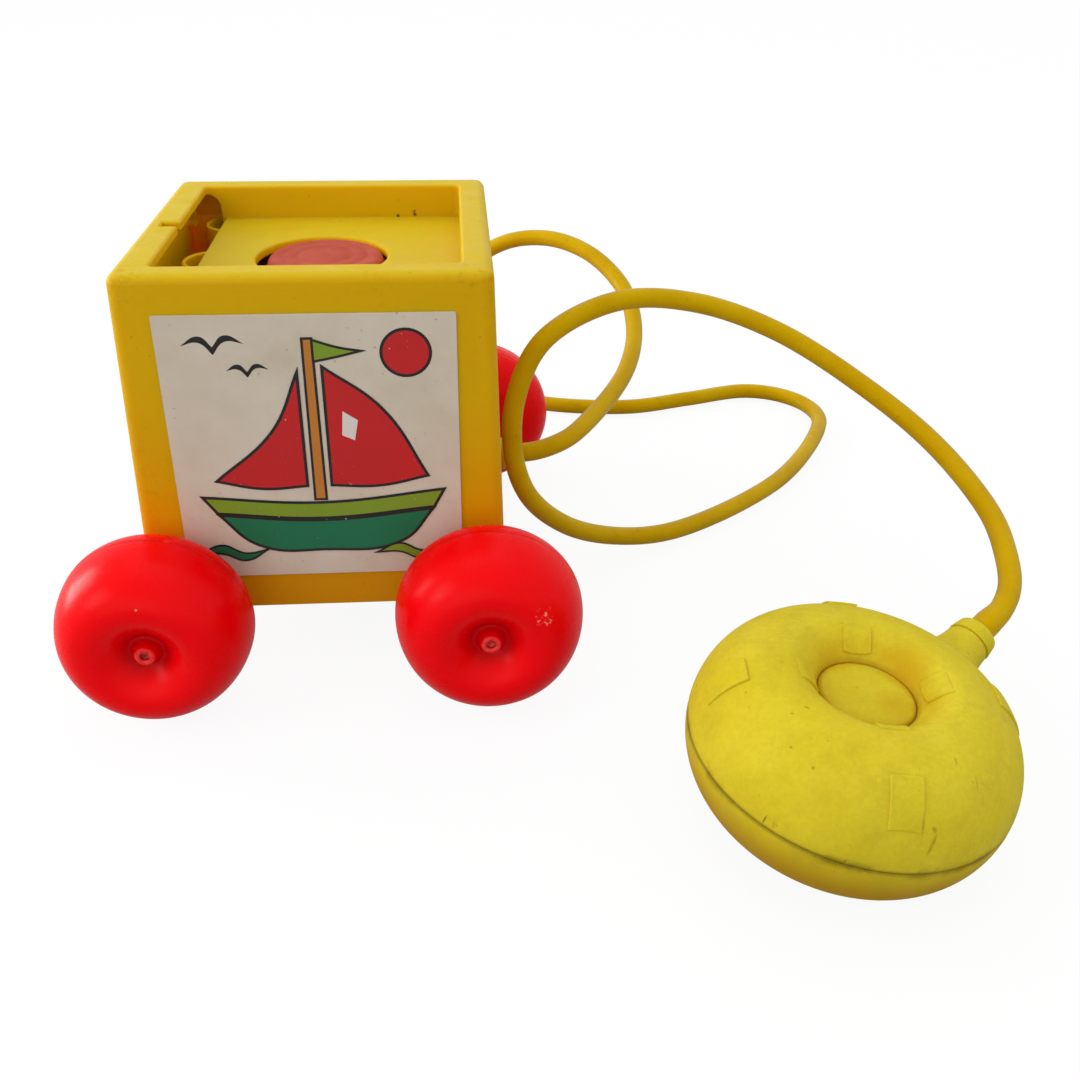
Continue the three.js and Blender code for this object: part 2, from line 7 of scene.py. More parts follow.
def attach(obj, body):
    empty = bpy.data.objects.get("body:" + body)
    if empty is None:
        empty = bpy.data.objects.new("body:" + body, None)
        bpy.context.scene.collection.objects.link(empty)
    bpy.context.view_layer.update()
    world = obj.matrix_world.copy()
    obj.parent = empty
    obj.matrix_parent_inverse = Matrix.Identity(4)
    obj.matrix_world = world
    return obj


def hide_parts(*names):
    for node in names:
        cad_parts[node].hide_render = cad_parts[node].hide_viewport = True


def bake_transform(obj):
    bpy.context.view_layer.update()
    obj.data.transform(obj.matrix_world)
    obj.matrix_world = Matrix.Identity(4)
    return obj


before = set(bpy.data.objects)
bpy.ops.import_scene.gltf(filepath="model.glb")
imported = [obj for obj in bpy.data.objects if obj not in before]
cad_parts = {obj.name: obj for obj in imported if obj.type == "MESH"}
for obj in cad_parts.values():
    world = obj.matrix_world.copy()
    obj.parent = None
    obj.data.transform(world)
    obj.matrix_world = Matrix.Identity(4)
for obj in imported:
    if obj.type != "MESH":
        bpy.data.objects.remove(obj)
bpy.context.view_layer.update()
mm = 0.001
scene = bpy.context.scene
scene.view_settings.view_transform = "Standard"


# general helpers

def deselect():
    if bpy.context.object and bpy.context.object.mode != "OBJECT":
        bpy.ops.object.mode_set(mode="OBJECT")
    bpy.ops.object.select_all(action="DESELECT")


def activate(piece):
    deselect()
    piece.select_set(True)
    bpy.context.view_layer.objects.active = piece


def applyAll(piece):
    activate(piece)
    for modifier in list(piece.modifiers):
        bpy.ops.object.modifier_apply(modifier=modifier.name)


def addObject(name, data):
    made = bpy.data.objects.new(name, data)
    scene.collection.objects.link(made)
    return made


def moved(*point):
    return Matrix.Translation(Vector(point) * mm)


def placeMesh(piece, matrix):
    piece.data.transform(matrix)
    piece.data.update()


def joinPieces(pieces, name):
    deselect()
    for piece in pieces:
        piece.select_set(True)
    bpy.context.view_layer.objects.active = pieces[0]
    bpy.ops.object.join()
    pieces[0].name = name
    return pieces[0]


def copyPiece(piece, name, matrix):
    twin = addObject(name, piece.data.copy())
    placeMesh(twin, matrix)
    return twin


def smooth(piece, degrees, weighted=False):
    activate(piece)
    bpy.ops.object.shade_smooth_by_angle(angle=math.radians(degrees))
    if weighted:
        flat = piece.modifiers.new("flatFaces", "WEIGHTED_NORMAL")
        flat.keep_sharp = True
        bpy.ops.object.modifier_apply(modifier=flat.name)


def setMaterial(piece, material):
    piece.data.materials.clear()
    piece.data.materials.append(material)


def dress(piece, material, body, slot, *nodes):
    # a piece that blends between two bodies has no body of its own
    setMaterial(piece, material)
    if body:
        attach(piece, body)
    if nodes:
        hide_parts(*nodes)


def settle(piece, matrix, degrees, material, body, slot, *nodes):
    placeMesh(piece, matrix)
    smooth(piece, degrees)
    dress(piece, material, body, slot, *nodes)


def boxPiece(name, low, high):
    deselect()
    middle = [(a + b) / 2 * mm for a, b in zip(low, high)]
    bpy.ops.mesh.primitive_cube_add(size=1, location=middle)
    piece = bpy.context.object
    piece.name = name
    piece.scale = [(b - a) * mm for a, b in zip(low, high)]
    bpy.ops.object.transform_apply(location=True, rotation=True, scale=True)
    return piece


def rodPiece(name, start, end, radius, shadedSides):
    deselect()
    way = (Vector(end) - Vector(start)) * mm
    bpy.ops.mesh.primitive_cylinder_add(vertices=shadedSides, radius=radius * mm, depth=way.length)
    piece = bpy.context.object
    piece.name = name
    turned = way.to_track_quat("Z", "Y").to_matrix().to_4x4()
    piece.matrix_world = Matrix.Translation((Vector(start) + Vector(end)) * mm / 2) @ turned
    bpy.ops.object.transform_apply(location=True, rotation=True, scale=True)
    return piece


def bevelWhere(piece, test, width, segments):
    # the test gets the two ends of an edge, in mm
    activate(piece)
    bpy.context.tool_settings.mesh_select_mode = (False, True, False)
    bpy.ops.object.mode_set(mode="EDIT")
    bpy.ops.mesh.select_all(action="DESELECT")
    mesh = bmesh.from_edit_mesh(piece.data)
    found = [edge for edge in mesh.edges if test(edge.verts[0].co / mm, edge.verts[1].co / mm)]
    for edge in found:
        edge.select_set(True)
    bmesh.update_edit_mesh(piece.data)
    if found:
        bpy.ops.mesh.bevel(offset=width * mm, segments=segments, affect="EDGES", clamp_overlap=False)
    bpy.ops.object.mode_set(mode="OBJECT")


def carve(piece, cutter, operation="DIFFERENCE"):
    cut = piece.modifiers.new("carve", "BOOLEAN")
    cut.operation = operation
    cut.solver = "EXACT"
    cut.object = cutter
    activate(piece)
    bpy.ops.object.modifier_apply(modifier=cut.name)
    bpy.data.objects.remove(cutter)


# cutters run past the walls that they open
def cutBox(piece, low, high):
    carve(piece, boxPiece("cutter", low, high))


def cutRod(piece, start, end, radius, shadedSides):
    carve(piece, rodPiece("cutter", start, end, radius, shadedSides))


def arc(middleR, middleH, halfR, halfH, start, end, steps):
    # points of radius and height, with the angles in degrees
    turn = [math.radians(start + (end - start) * i / steps) for i in range(steps + 1)]
    return [(middleR + halfR * math.cos(a), middleH + halfH * math.sin(a)) for a in turn]


def spunPiece(name, profile, steps):
    # radius and height points spun round Z, in mm
    mesh = bpy.data.meshes.new(name)
    edges = [(i, i + 1) for i in range(len(profile) - 1)]
    if profile[0][0] > 0:
        edges.append((len(profile) - 1, 0))
    mesh.from_pydata([(r * mm, 0, h * mm) for r, h in profile], edges, [])
    piece = addObject(name, mesh)
    activate(piece)
    bpy.ops.object.mode_set(mode="EDIT")
    bpy.ops.mesh.select_all(action="SELECT")
    bpy.ops.mesh.spin(steps=steps, angle=2 * math.pi, center=(0, 0, 0), axis=(0, 0, 1))
    bpy.ops.mesh.select_all(action="SELECT")
    bpy.ops.mesh.remove_doubles(threshold=0.000002)
    bpy.ops.mesh.normals_make_consistent(inside=False)
    bpy.ops.object.mode_set(mode="OBJECT")
    return piece


# node helpers

def linear(*values):
    # colour levels as a paint program shows them, to the shader's own
    return tuple((v / 255 / 12.92) if v < 10.3 else ((v / 255 + 0.055) / 1.055) ** 2.4 for v in values) + (1,)


def addNode(tree, kind, inputs=None, **settings):
    made = tree.nodes.new(kind)
    for key, value in settings.items():
        setattr(made, key, value)
    for key, value in (inputs or {}).items():
        if isinstance(value, bpy.types.NodeSocket):
            tree.links.new(value, made.inputs[key])
        else:
            made.inputs[key].default_value = value
    return made


shaderInputs = {
    "color": "Base Color", "rough": "Roughness", "metal": "Metallic",
    "shine": "Specular IOR Level", "tint": "Specular Tint",
    "glow": "Subsurface Weight", "glowReach": "Subsurface Radius", "glowDepth": "Subsurface Scale",
}


class Finish:
    def __init__(self, name, **values):
        self.material = bpy.data.materials.new(name)
        self.material.use_nodes = True
        self.tree = self.material.node_tree
        self.shader = self.tree.nodes["Principled BSDF"]
        places = self.node("ShaderNodeTexCoord").outputs
        self.coords, self.facing = places["Object"], places["Normal"]
        for key, value in values.items():
            self.shader.inputs[shaderInputs[key]].default_value = value

    def node(self, kind, inputs=None, **settings):
        return addNode(self.tree, kind, inputs, **settings)

    def noise(self, scale, detail, rough, stretch=(1, 1, 1), turn=(0, 0, 0), distort=0):
        place = self.node("ShaderNodeMapping", {"Vector": self.coords, "Scale": stretch, "Rotation": turn})
        return self.node("ShaderNodeTexNoise", {
            "Vector": place.outputs[0], "Scale": scale, "Detail": detail, "Roughness": rough, "Distortion": distort,
        }).outputs[0]

    def band(self, value, low, high, toLow=0.0, toHigh=1.0):
        return self.node("ShaderNodeMapRange", {
            0: value, 1: low, 2: high, 3: toLow, 4: toHigh,
        }, interpolation_type="SMOOTHSTEP").outputs[0]

    def cloud(self, scale, detail, rough, *levels):
        # noise that turns from one level to the other
        return self.band(self.noise(scale, detail, rough), *levels)

    def math(self, kind, a, b=0.0):
        return self.node("ShaderNodeMath", {0: a, 1: b}, operation=kind).outputs[0]

    def times(self, a, b):
        return self.math("MULTIPLY", a, b)

    def spot(self, point, reach, edge):
        # 1 at the point, falling to 0 at the reach, in mm
        point = Vector(point) * mm
        far = self.node("ShaderNodeVectorMath", {0: self.coords, 1: point}, operation="DISTANCE").outputs[1]
        return self.band(far, reach * mm, reach * mm * edge)

    def axis(self, which, place=None):
        source = self.coords if place is None else place
        return self.node("ShaderNodeSeparateXYZ", {0: source}).outputs[which]

    def mix(self, factor, a, b):
        return self.node("ShaderNodeMix", {0: factor, 6: a, 7: b}, data_type="RGBA").outputs[2]

    def start(self, cloud, a, b):
        self.color = self.mix(self.cloud(*cloud), linear(*a), linear(*b))

    def lay(self, mask, amount, *levels):
        # one more colour over the colour so far
        self.color = self.mix(self.times(mask, amount), self.color, linear(*levels))

    def set(self, key, socket):
        self.tree.links.new(socket, self.shader.inputs[key])

    def bump(self, height, strength, distance):
        before = self.shader.inputs["Normal"].links
        inputs = {"Height": height, "Strength": strength, "Distance": distance * mm}
        if before:
            inputs["Normal"] = before[0].from_socket
        self.set("Normal", self.node("ShaderNodeBump", inputs).outputs[0])

    def dents(self, scale, detail, rough, strength, distance):
        self.bump(self.noise(scale, detail, rough), strength, distance)

    def roughen(self, scale, detail, rough, low, high):
        self.set("Roughness", self.cloud(scale, detail, rough, 0.3, 0.7, low, high))

    def done(self):
        self.set("Base Color", self.color)
        return self.material


# camera, solved from the block's edges in the photograph

cameraView = {
    "focal": 1131.13, "frame": 1080, "sensor": 36, "yaw": 0.0787, "pitch": 0.5257, "roll": -0.0126,
    "place": (40.09, -336.65, 194.27), "shift": -0.02341,
}


def makeCamera(view):
    yaw, pitch = view["yaw"], view["pitch"]
    forward = Vector((math.sin(yaw) * math.cos(pitch), math.cos(yaw) * math.cos(pitch), -math.sin(pitch)))
    right = Vector((math.cos(yaw), -math.sin(yaw), 0))
    down = forward.cross(right)
    c, s = math.cos(view["roll"]), math.sin(view["roll"])
    sideways, below = c * right + s * down, c * down - s * right
    camera = addObject("camera", bpy.data.cameras.new("camera"))
    camera.data.sensor_width = view["sensor"]
    camera.data.lens = view["sensor"] * view["focal"] / view["frame"]
    camera.data.shift_y = view["shift"]
    camera.data.clip_start = 0.01
    turned = Matrix((sideways, -below, -forward)).transposed()
    camera.matrix_world = moved(*view["place"]) @ turned.to_4x4()
    scene.camera = camera


makeCamera(cameraView)
print("camera set")


# hose

hose = {
    "diameter": 6.35, "length": 922.1, "swell": 1.17,
    "route": [
        (55.3, 0, 22.4), (64.3, 0.9, 22.6), (73.4, 5.3, 23.4), (80.9, 13.2, 24.4), (101.3, 48.6, 30),
        (108.1, 74.4, 37.5), (106.1, 93.7, 46.8), (94.4, 113.1, 55.1), (78.2, 127, 57.5), (59.7, 137.9, 52.2),
        (43, 143.1, 38.6), (35.6, 143.7, 18.4), (41, 139.9, -2.1), (55.6, 134.2, -14.6), (77, 126.5, -17.3),
        (114.9, 121.2, -17.5), (143.1, 128.4, -17.5), (170.4, 135.8, -17.5), (184, 132.1, -17.5), (193.9, 122.2, -17.5),
        (197.6, 108.6, -17.5), (193.7, 94, -17.5), (164.5, 49.2, -17.5), (118.8, 13.1, -16.7), (96.4, 1.3, -12),
        (75.8, -9, -1.2), (61.9, -15.4, 14.2), (56.6, -16.9, 30.8), (57.6, -14.4, 49.6), (66.3, -8, 65.2),
        (89.6, 1.9, 74), (117.3, 9.5, 70.5), (145.6, 9.6, 60), (170.4, -4, 47.2), (187.9, -27.1, 36.8),
        (196, -55.8, 27.9), (195.1, -71.6, 23.5), (192.4, -82.8, 19.3), (187.6, -89.7, 16.4), (182.9, -93.1, 14.6),
        (179.44, -95.38, 13.11),
    ],
}


def hoseFinish():
    finish = Finish("hoseVinyl", shine=0.12, tint=(1, 0.8, 0.1, 1),
                    glow=0.12, glowReach=(1, 0.55, 0.05), glowDepth=0.0015)
    finish.start((38, 5, 0.6, 0.35, 0.65), (202, 160, 2), (212, 173, 6))
    finish.lay(finish.cloud(120, 8, 0.7, 0.57, 0.74), 0.35, 152, 112, 6)    # grime
    finish.lay(finish.cloud(900, 3, 0.5, 0.70, 0.76), 0.5, 96, 70, 14)    # specks
    finish.roughen(150, 6, 0.65, 0.26, 0.42)
    finish.dents(420, 4, 0.6, 0.12, 0.3)
    return finish.done()


def makeHose(values):
    points = [Vector(p) * mm for p in values["route"]]
    curve = bpy.data.curves.new("hose_tube", "CURVE")
    curve.dimensions = "3D"
    curve.resolution_u = 14
    curve.bevel_depth = values["diameter"] / 2 * mm
    curve.bevel_resolution = 7
    curve.use_fill_caps = True
    spline = curve.splines.new("BEZIER")
    spline.bezier_points.add(len(points) - 1)
    knots = spline.bezier_points
    for knot, point in zip(knots, points):
        knot.handle_left_type = knot.handle_right_type = "FREE"
        knot.co = knot.handle_left = knot.handle_right = point
    # the same rounded course through the points as the solid's
    for i in range(len(points) - 1):
        a, b = points[i], points[i + 1]
        before = points[i - 1] if i else 2 * a - b
        after = points[i + 2] if i + 2 < len(points) else 2 * b - a
        d0, d1, d2 = ((q - p).length ** 0.5 for p, q in ((before, a), (a, b), (b, after)))
        leave = (a - before) / d0 - (b - before) / (d0 + d1) + (b - a) / d1
        reach = (b - a) / d1 - (after - a) / (d1 + d2) + (after - b) / d2
        knots[i].handle_right = a + leave * d1 / 3
        knots[i + 1].handle_left = b - reach * d1 / 3
    # the end swells over its fitting in the bulb's neck
    knots[-1].radius = knots[-2].radius = values["swell"]
    piece = addObject("hose_tube", curve)
    dress(piece, hoseFinish(), "block", "hose_vinyl", "hose")


makeHose(hose)
print("hose laid")


# block

block = {
    "top": 100, "height": 101, "draft": 1.5, "corner": 3.2, "topEdge": 2.6, "wall": 2.5,
    "rim": 8.5, "rearFlange": 9.5, "rimThickness": 2.5, "recessDepth": 10.5, "recessWall": 2, "recessCorner": 1.8,
    "deck": 2.5, "slot": 5.5, "popHole": 39, "notch": (5, 4.5, -1.7), "archWidth": 8.6, "archBelow": 2.7,
    "hosePort": 9.6, "hoseHeight": 22.4, "axle": (46.945, 6), "axleNotch": 2.4,
    "column": (9.5, 8.2), "columnX": -32, "columnY": (-40, 0, 40), "columnEnds": (3.3, 89.5),
    "footEdge": 0.5, "hollowCorner": 0.9, "rimEdge": 1.0, "holeEdge": 0.9, "deckFillet": 0.3, "columnEdge": 0.3,
    "grime": [
        ((-47, -47, 100), 13, 0.3), ((46, -46, 100), 14, 0.28), ((-46, -10, 101), 12, 0.15),
        ((47, 20, 101), 15, 0.15), ((-51, -51, 40), 22, 0.15), ((20, -52, 95), 16, 0.1),
    ],
    "crumbs": [((26.9, 41.5, 91.7), 1.3), ((21.2, 41.5, 90.8), 0.8)],
}
draft = math.tan(math.radians(block["draft"]))


def outerHalf(z):
    return block["top"] / 2 + (block["height"] - z) * draft


def taperedBox(name, halfAt, low, high):
    piece = boxPiece(name, (-1, -1, low), (1, 1, high))
    for vertex in piece.data.vertices:
        half = halfAt(vertex.co.z / mm) * mm
        vertex.co.x = math.copysign(half, vertex.co.x)
        vertex.co.y = math.copysign(half, vertex.co.y)
    return piece


def blockFinish():
    finish = Finish("yellowPlastic", shine=0.11, glow=0.35, glowReach=(1, 0.3, 0.02), glowDepth=0.007)
    # painted shade and bounce light: the upright faces are painted more orange than the top, most of all low down
    shadedSides = finish.mix(finish.band(finish.axis(2), 0.0, 0.085), linear(218, 150, 0), linear(219, 174, 0))
    finish.color = finish.mix(finish.band(finish.axis(2, finish.facing), 0.3, 0.85), shadedSides, linear(217, 187, 24))
    # painted light: the hollow's inner faces are painted brighter, for light that comes through its walls
    span = finish.math("MAXIMUM", finish.math("ABSOLUTE", finish.axis(0)), finish.math("ABSOLUTE", finish.axis(1)))
    wallFace = finish.math("SUBTRACT", outerHalf(0) * mm, finish.times(finish.axis(2), draft))
    hollowGlow = finish.band(finish.math("SUBTRACT", wallFace, span), 0.0008, 0.0016)
    hollowGlow = finish.times(hollowGlow, finish.band(finish.axis(2), 0.0903, 0.0895))
    finish.color = finish.mix(hollowGlow, finish.color, linear(250, 190, 0))
    finish.lay(finish.cloud(22, 4, 0.6, 0.3, 0.7), 0.2, 212, 164, 2)    # tone
    finish.lay(finish.cloud(55, 9, 0.72, 0.50, 0.75), 0.16, 176, 126, 8)    # haze
    # handling grime on the rim's corners
    grime = finish.noise(420, 8, 0.75)
    for point, reach, amount in block["grime"]:
        here = finish.times(finish.spot(point, reach, 0.15), finish.band(grime, 0.48, 0.66))
        finish.lay(here, amount, 132, 96, 10)
    # two dark crumbs at the back of the deck
    crumbs = finish.cloud(700, 3, 0.6, 0.44, 0.52)
    for point, reach in block["crumbs"]:
        here = finish.times(finish.spot(point, reach, 0.5), crumbs)
        finish.lay(here, 0.85, 60, 40, 10)
    finish.lay(finish.cloud(620, 2, 0.5, 0.73, 0.77), 0.4, 112, 82, 14)    # specks
    scratch = finish.band(finish.noise(70, 6, 0.6, (1, 1, 22), (0.5, 0.7, 0.3)), 0.665, 0.69)
    finish.lay(scratch, 0.12, 240, 212, 90)
    finish.roughen(90, 7, 0.7, 0.36, 0.56)
    finish.dents(1500, 3, 0.5, 0.08, 0.12)
    finish.dents(46, 3, 0.5, 0.14, 0.5)
    finish.bump(scratch, 0.1, 0.1)
    return finish.done()


def makeBlock(values):
    half, height = values["top"] / 2, values["height"]
    deckTop = height - values["recessDepth"]
    deckUnder = deckTop - values["deck"]
    ceiling = height - values["rimThickness"]
    recess = half - values["rim"]
    flange = -(half - values["rearFlange"])
    deckEdge = flange + values["slot"]
    wallOuter = recess + values["recessWall"]
    near = 0.02

    shell = taperedBox("block_body", outerHalf, 0, height)
    upright = lambda a, b: abs(a.z - b.z) > 20
    bevelWhere(shell, upright, values["corner"], 7)
    bevelWhere(shell, lambda a, b: min(a.z, b.z) > height - 0.01, values["topEdge"], 7)
    bevelWhere(shell, lambda a, b: max(a.z, b.z) < 0.01, values["footEdge"], 2)

    hollow = taperedBox("hollow", lambda z: outerHalf(z) - values["wall"], -12, ceiling)
    bevelWhere(hollow, upright, values["hollowCorner"], 3)
    cutBox(hollow, (deckEdge, -wallOuter, deckUnder), (wallOuter, wallOuter, height + 5))
    for side in (-1, 1):
        low, high = sorted((side * recess, side * wallOuter))
        cutBox(hollow, (-80, low, deckUnder), (deckEdge + 1, high, height + 5))
    carve(shell, hollow)

    cut = boxPiece("recess", (flange, -recess, deckTop), (recess, recess, height + 8))
    bevelWhere(cut, lambda a, b: abs(a.z - b.z) > 8, values["recessCorner"], 5)
    carve(shell, cut)
    cutRod(shell, (0, 0, deckUnder - 5), (0, 0, deckTop + 5), values["popHole"] / 2, 96)
    length, width, offset = values["notch"]
    low, high = offset - width / 2, offset + width / 2
    cutBox(shell, (flange - length, low, ceiling - 1), (flange + 1, high, height + 1))
    archTop = height - values["archBelow"] - values["archWidth"] / 2
    reach = values["archWidth"] / 2
    for side in (-1, 1):
        low, high = sorted((side * (recess - 0.8), side * (wallOuter + 0.8)))
        cutBox(shell, (flange - reach, low, deckUnder - 1), (flange + reach, high, archTop))
        cutRod(shell, (flange, low, archTop), (flange, high, archTop), reach, 48)
    z = values["hoseHeight"]
    cutRod(shell, (30, 0, z), (70, 0, z), values["hosePort"] / 2, 48)
    x, z = values["axle"]
    gap = values["axleNotch"]
    for end in (-1, 1):
        for side in (-1, 1):
            low, high = sorted((side * 48, side * 60))
            cutBox(shell, (end * x - gap, low, -1), (end * x + gap, high, z))
            cutRod(shell, (end * x, low, z), (end * x, high, z), gap, 40)

    # soft edges round the recess, the pop-up's hole and the slot
    onRim = lambda p: p.z > height - near and abs(p.x) < half - 4 and abs(p.y) < half - 4
    bevelWhere(shell, lambda a, b: onRim(a) and onRim(b), values["rimEdge"], 4)
    onDeck = lambda p: abs(p.z - deckTop) < near
    onHole = lambda p: onDeck(p) and abs(math.hypot(p.x, p.y) - values["popHole"] / 2) < 0.05
    bevelWhere(shell, lambda a, b: onHole(a) and onHole(b), values["holeEdge"], 4)
    onWall = lambda p: onDeck(p) and (abs(p.x - recess) < 2 or abs(abs(p.y) - recess) < 2)
    onSlot = lambda p: abs(p.x - deckEdge) < near
    byWall = lambda a, b: onWall(a) and onWall(b) and not (onSlot(a) and onSlot(b))
    bevelWhere(shell, byWall, values["deckFillet"], 2)

    # open columns that hang from the deck under the slot
    outer, bore = values["column"]
    foot, top = values["columnEnds"]
    edge = values["columnEdge"]
    outside = [(outer, foot), (outer, top - edge), (outer - edge, top)]
    first = spunPiece("column", outside + [(bore + edge, top), (bore, top - edge), (bore, foot)], 64)
    parts = [shell]
    for y in values["columnY"]:
        parts.append(copyPiece(first, "column", moved(values["columnX"], y, 0)))
    bpy.data.objects.remove(first)
    shell = joinPieces(parts, "block_body")
    smooth(shell, 32, True)
    dress(shell, yellowPlastic, "block", "yellow_plastic", "block_shell")


yellowPlastic = blockFinish()
makeBlock(block)
print("block made")


# base plate with its axle tubes

base = {
    "half": 49.77, "thickness": 3, "corner": 1.2, "edge": 0.4, "tube": (3.7, 2.1), "tubeReach": 48.17, "webFoot": 0.6,
    "screws": (22, 46.57), "sink": (2.9, 1.9),
}


def makeBase(values):
    half = values["half"]
    plate = boxPiece("base_panel", (-half, -half, 0), (half, half, values["thickness"]))
    bevelWhere(plate, lambda a, b: abs(a.z - b.z) > 2, values["corner"], 4)
    bevelWhere(plate, lambda a, b: max(a.z, b.z) < 0.01, values["edge"], 2)
    x, y = values["screws"]
    radius, depth = values["sink"]
    for sx in (-x, x):
        for sy in (-y, y):
            cutRod(plate, (sx, sy, -1), (sx, sy, depth), radius, 32)
    outer, bore = values["tube"]
    reach = values["tubeReach"]
    axleX, axleZ = block["axle"]
    for end in (-1, 1):
        at = end * axleX
        tube = rodPiece("tube", (at, -reach, axleZ), (at, reach, axleZ), outer, 40)
        web = boxPiece("web", (at - outer, -reach + 0.1, values["webFoot"]), (at + outer, reach - 0.1, axleZ))
        carve(tube, web, "UNION")
        low, high = sorted((end * half, end * (half + 20)))
        cutBox(tube, (low, -80, -5), (high, 80, 30))
        carve(plate, tube, "UNION")
        cutRod(plate, (at, -80, axleZ), (at, 80, axleZ), bore, 40)
    smooth(plate, 32, True)
    dress(plate, yellowPlastic, "block", "yellow_plastic", "base_plate")


makeBase(base)
print("base made")


# wheels and axles

wheel = {
    "radius": 27, "width": 34, "back": 53.345, "equator": 14.5, "ridge": 15, "backFace": 11,
    "dish": [
        (14, 33.95), (13, 33.76), (12, 33.43), (11, 32.95), (10, 32.3), (9, 31.5), (8, 30.55), (7, 29.5), (6.4, 28.88),
        (5.9, 28.4), (5.5, 28.05), (5.15, 27.78), (4.75, 27.6), (4.35, 27.65), (4, 27.95), (3.7, 28.42), (3.4, 29.05),
        (3.14, 29.7),
    ],
    "nub": (1.95, 31, 1.05), "mouth": 1.3, "mouthRim": [(0.5, 0.05), (0.15, 0.2), (0, 0.45), (0, 0.75)],
    "bore": 2.05, "seam": 0.1, "axle": 2, "axleEnd": 83.345, "axleEdge": 0.7,
    "chips": [((61.4, -86.5, 16.6), 3.4), ((58.5, 84, 17), 4.5), ((-38, 86, -3), 3)],
    "dots": [((36.8, -85, 0.6), 0.8), ((-45.7, -86.7, 23.3), 0.45), ((-33, 84.5, 14), 0.7)],
    "nick": ((-62.3, -76, 26.6), 1.5),
}


def wheelFinish():
    finish = Finish("redPlastic", shine=0.09, glow=0.15, glowReach=(1, 0.06, 0.04), glowDepth=0.003)
    finish.start((30, 4, 0.6, 0.3, 0.7), (252, 0, 7), (255, 3, 13))
    # painted shade in the groove round the nub, and the nub's rubbed end
    across = finish.math("ABSOLUTE", finish.axis(1))
    aside = finish.math("SUBTRACT", finish.math("ABSOLUTE", finish.axis(0)), block["axle"][0] * mm)
    above = finish.math("SUBTRACT", finish.axis(2), block["axle"][1] * mm)
    squares = finish.math("ADD", finish.times(aside, aside), finish.times(above, above))
    away = finish.math("SQRT", squares)
    grooveShade = finish.times(finish.band(away, 0.0125, 0.0042), finish.band(across, 0.0862, 0.0808))
    finish.lay(grooveShade, 0.46, 130, 0, 6)
    nubEnd = finish.times(finish.band(away, 0.0033, 0.0022), finish.band(across, 0.0836, 0.0843))
    finish.lay(nubEnd, finish.cloud(700, 4, 0.6, 0.35, 0.65, 0.1, 0.34), 255, 128, 120)
    # rubbed band along the parting line
    band = finish.times(finish.band(across, 0.060, 0.0645), finish.band(across, 0.0745, 0.069))
    rub = finish.cloud(190, 9, 0.75, 0.56, 0.72)
    streak = finish.band(finish.noise(60, 5, 0.6, (1, 26, 1), (0.2, 0, 0)), 0.60, 0.73)
    worn = finish.times(band, finish.math("MAXIMUM", rub, finish.times(streak, 0.8)))
    finish.lay(worn, 0.3, 255, 130, 126)
    line = finish.band(finish.math("ABSOLUTE", finish.math("SUBTRACT", across, 0.067845)), 0.0007, 0.0002)
    finish.lay(line, 0.3, 190, 8, 16)
    # pale chips, dots and a dark nick
    chip = finish.cloud(900, 4, 0.7, 0.56, 0.61)
    for point, reach in wheel["chips"]:
        here = finish.times(finish.spot(point, reach, 0.45), chip)
        finish.lay(here, 0.8, 255, 176, 160)
    for point, reach in wheel["dots"]:
        finish.lay(finish.spot(point, reach, 0.6), 0.75, 255, 190, 176)
    nick = finish.times(finish.spot(*wheel["nick"], 0.4), finish.cloud(620, 3, 0.6, 0.4, 0.5))
    finish.lay(nick, 0.7, 130, 6, 14)
    finish.lay(finish.cloud(520, 3, 0.6, 0.71, 0.77), 0.25, 140, 12, 16)    # dust
    rough = finish.cloud(130, 7, 0.7, 0.3, 0.72, 0.22, 0.34)
    finish.set("Roughness", finish.math("ADD", rough, finish.times(worn, 0.22)))
    finish.dents(64, 3, 0.5, 0.08, 0.5)
    finish.dents(1300, 3, 0.5, 0.03, 0.1)
    finish.bump(nick, -0.4, 0.2)
    return finish.done()


def axleFinish():
    finish = Finish("axleSteel", metal=0.1, shine=0.25)
    rust = finish.cloud(700, 6, 0.7, 0.42, 0.62)
    finish.color = finish.mix(rust, linear(220, 70, 62), linear(150, 34, 30))
    finish.set("Roughness", finish.band(rust, 0, 1, 0.45, 0.75))
    finish.dents(900, 5, 0.6, 0.25, 0.2)
    return finish.done()


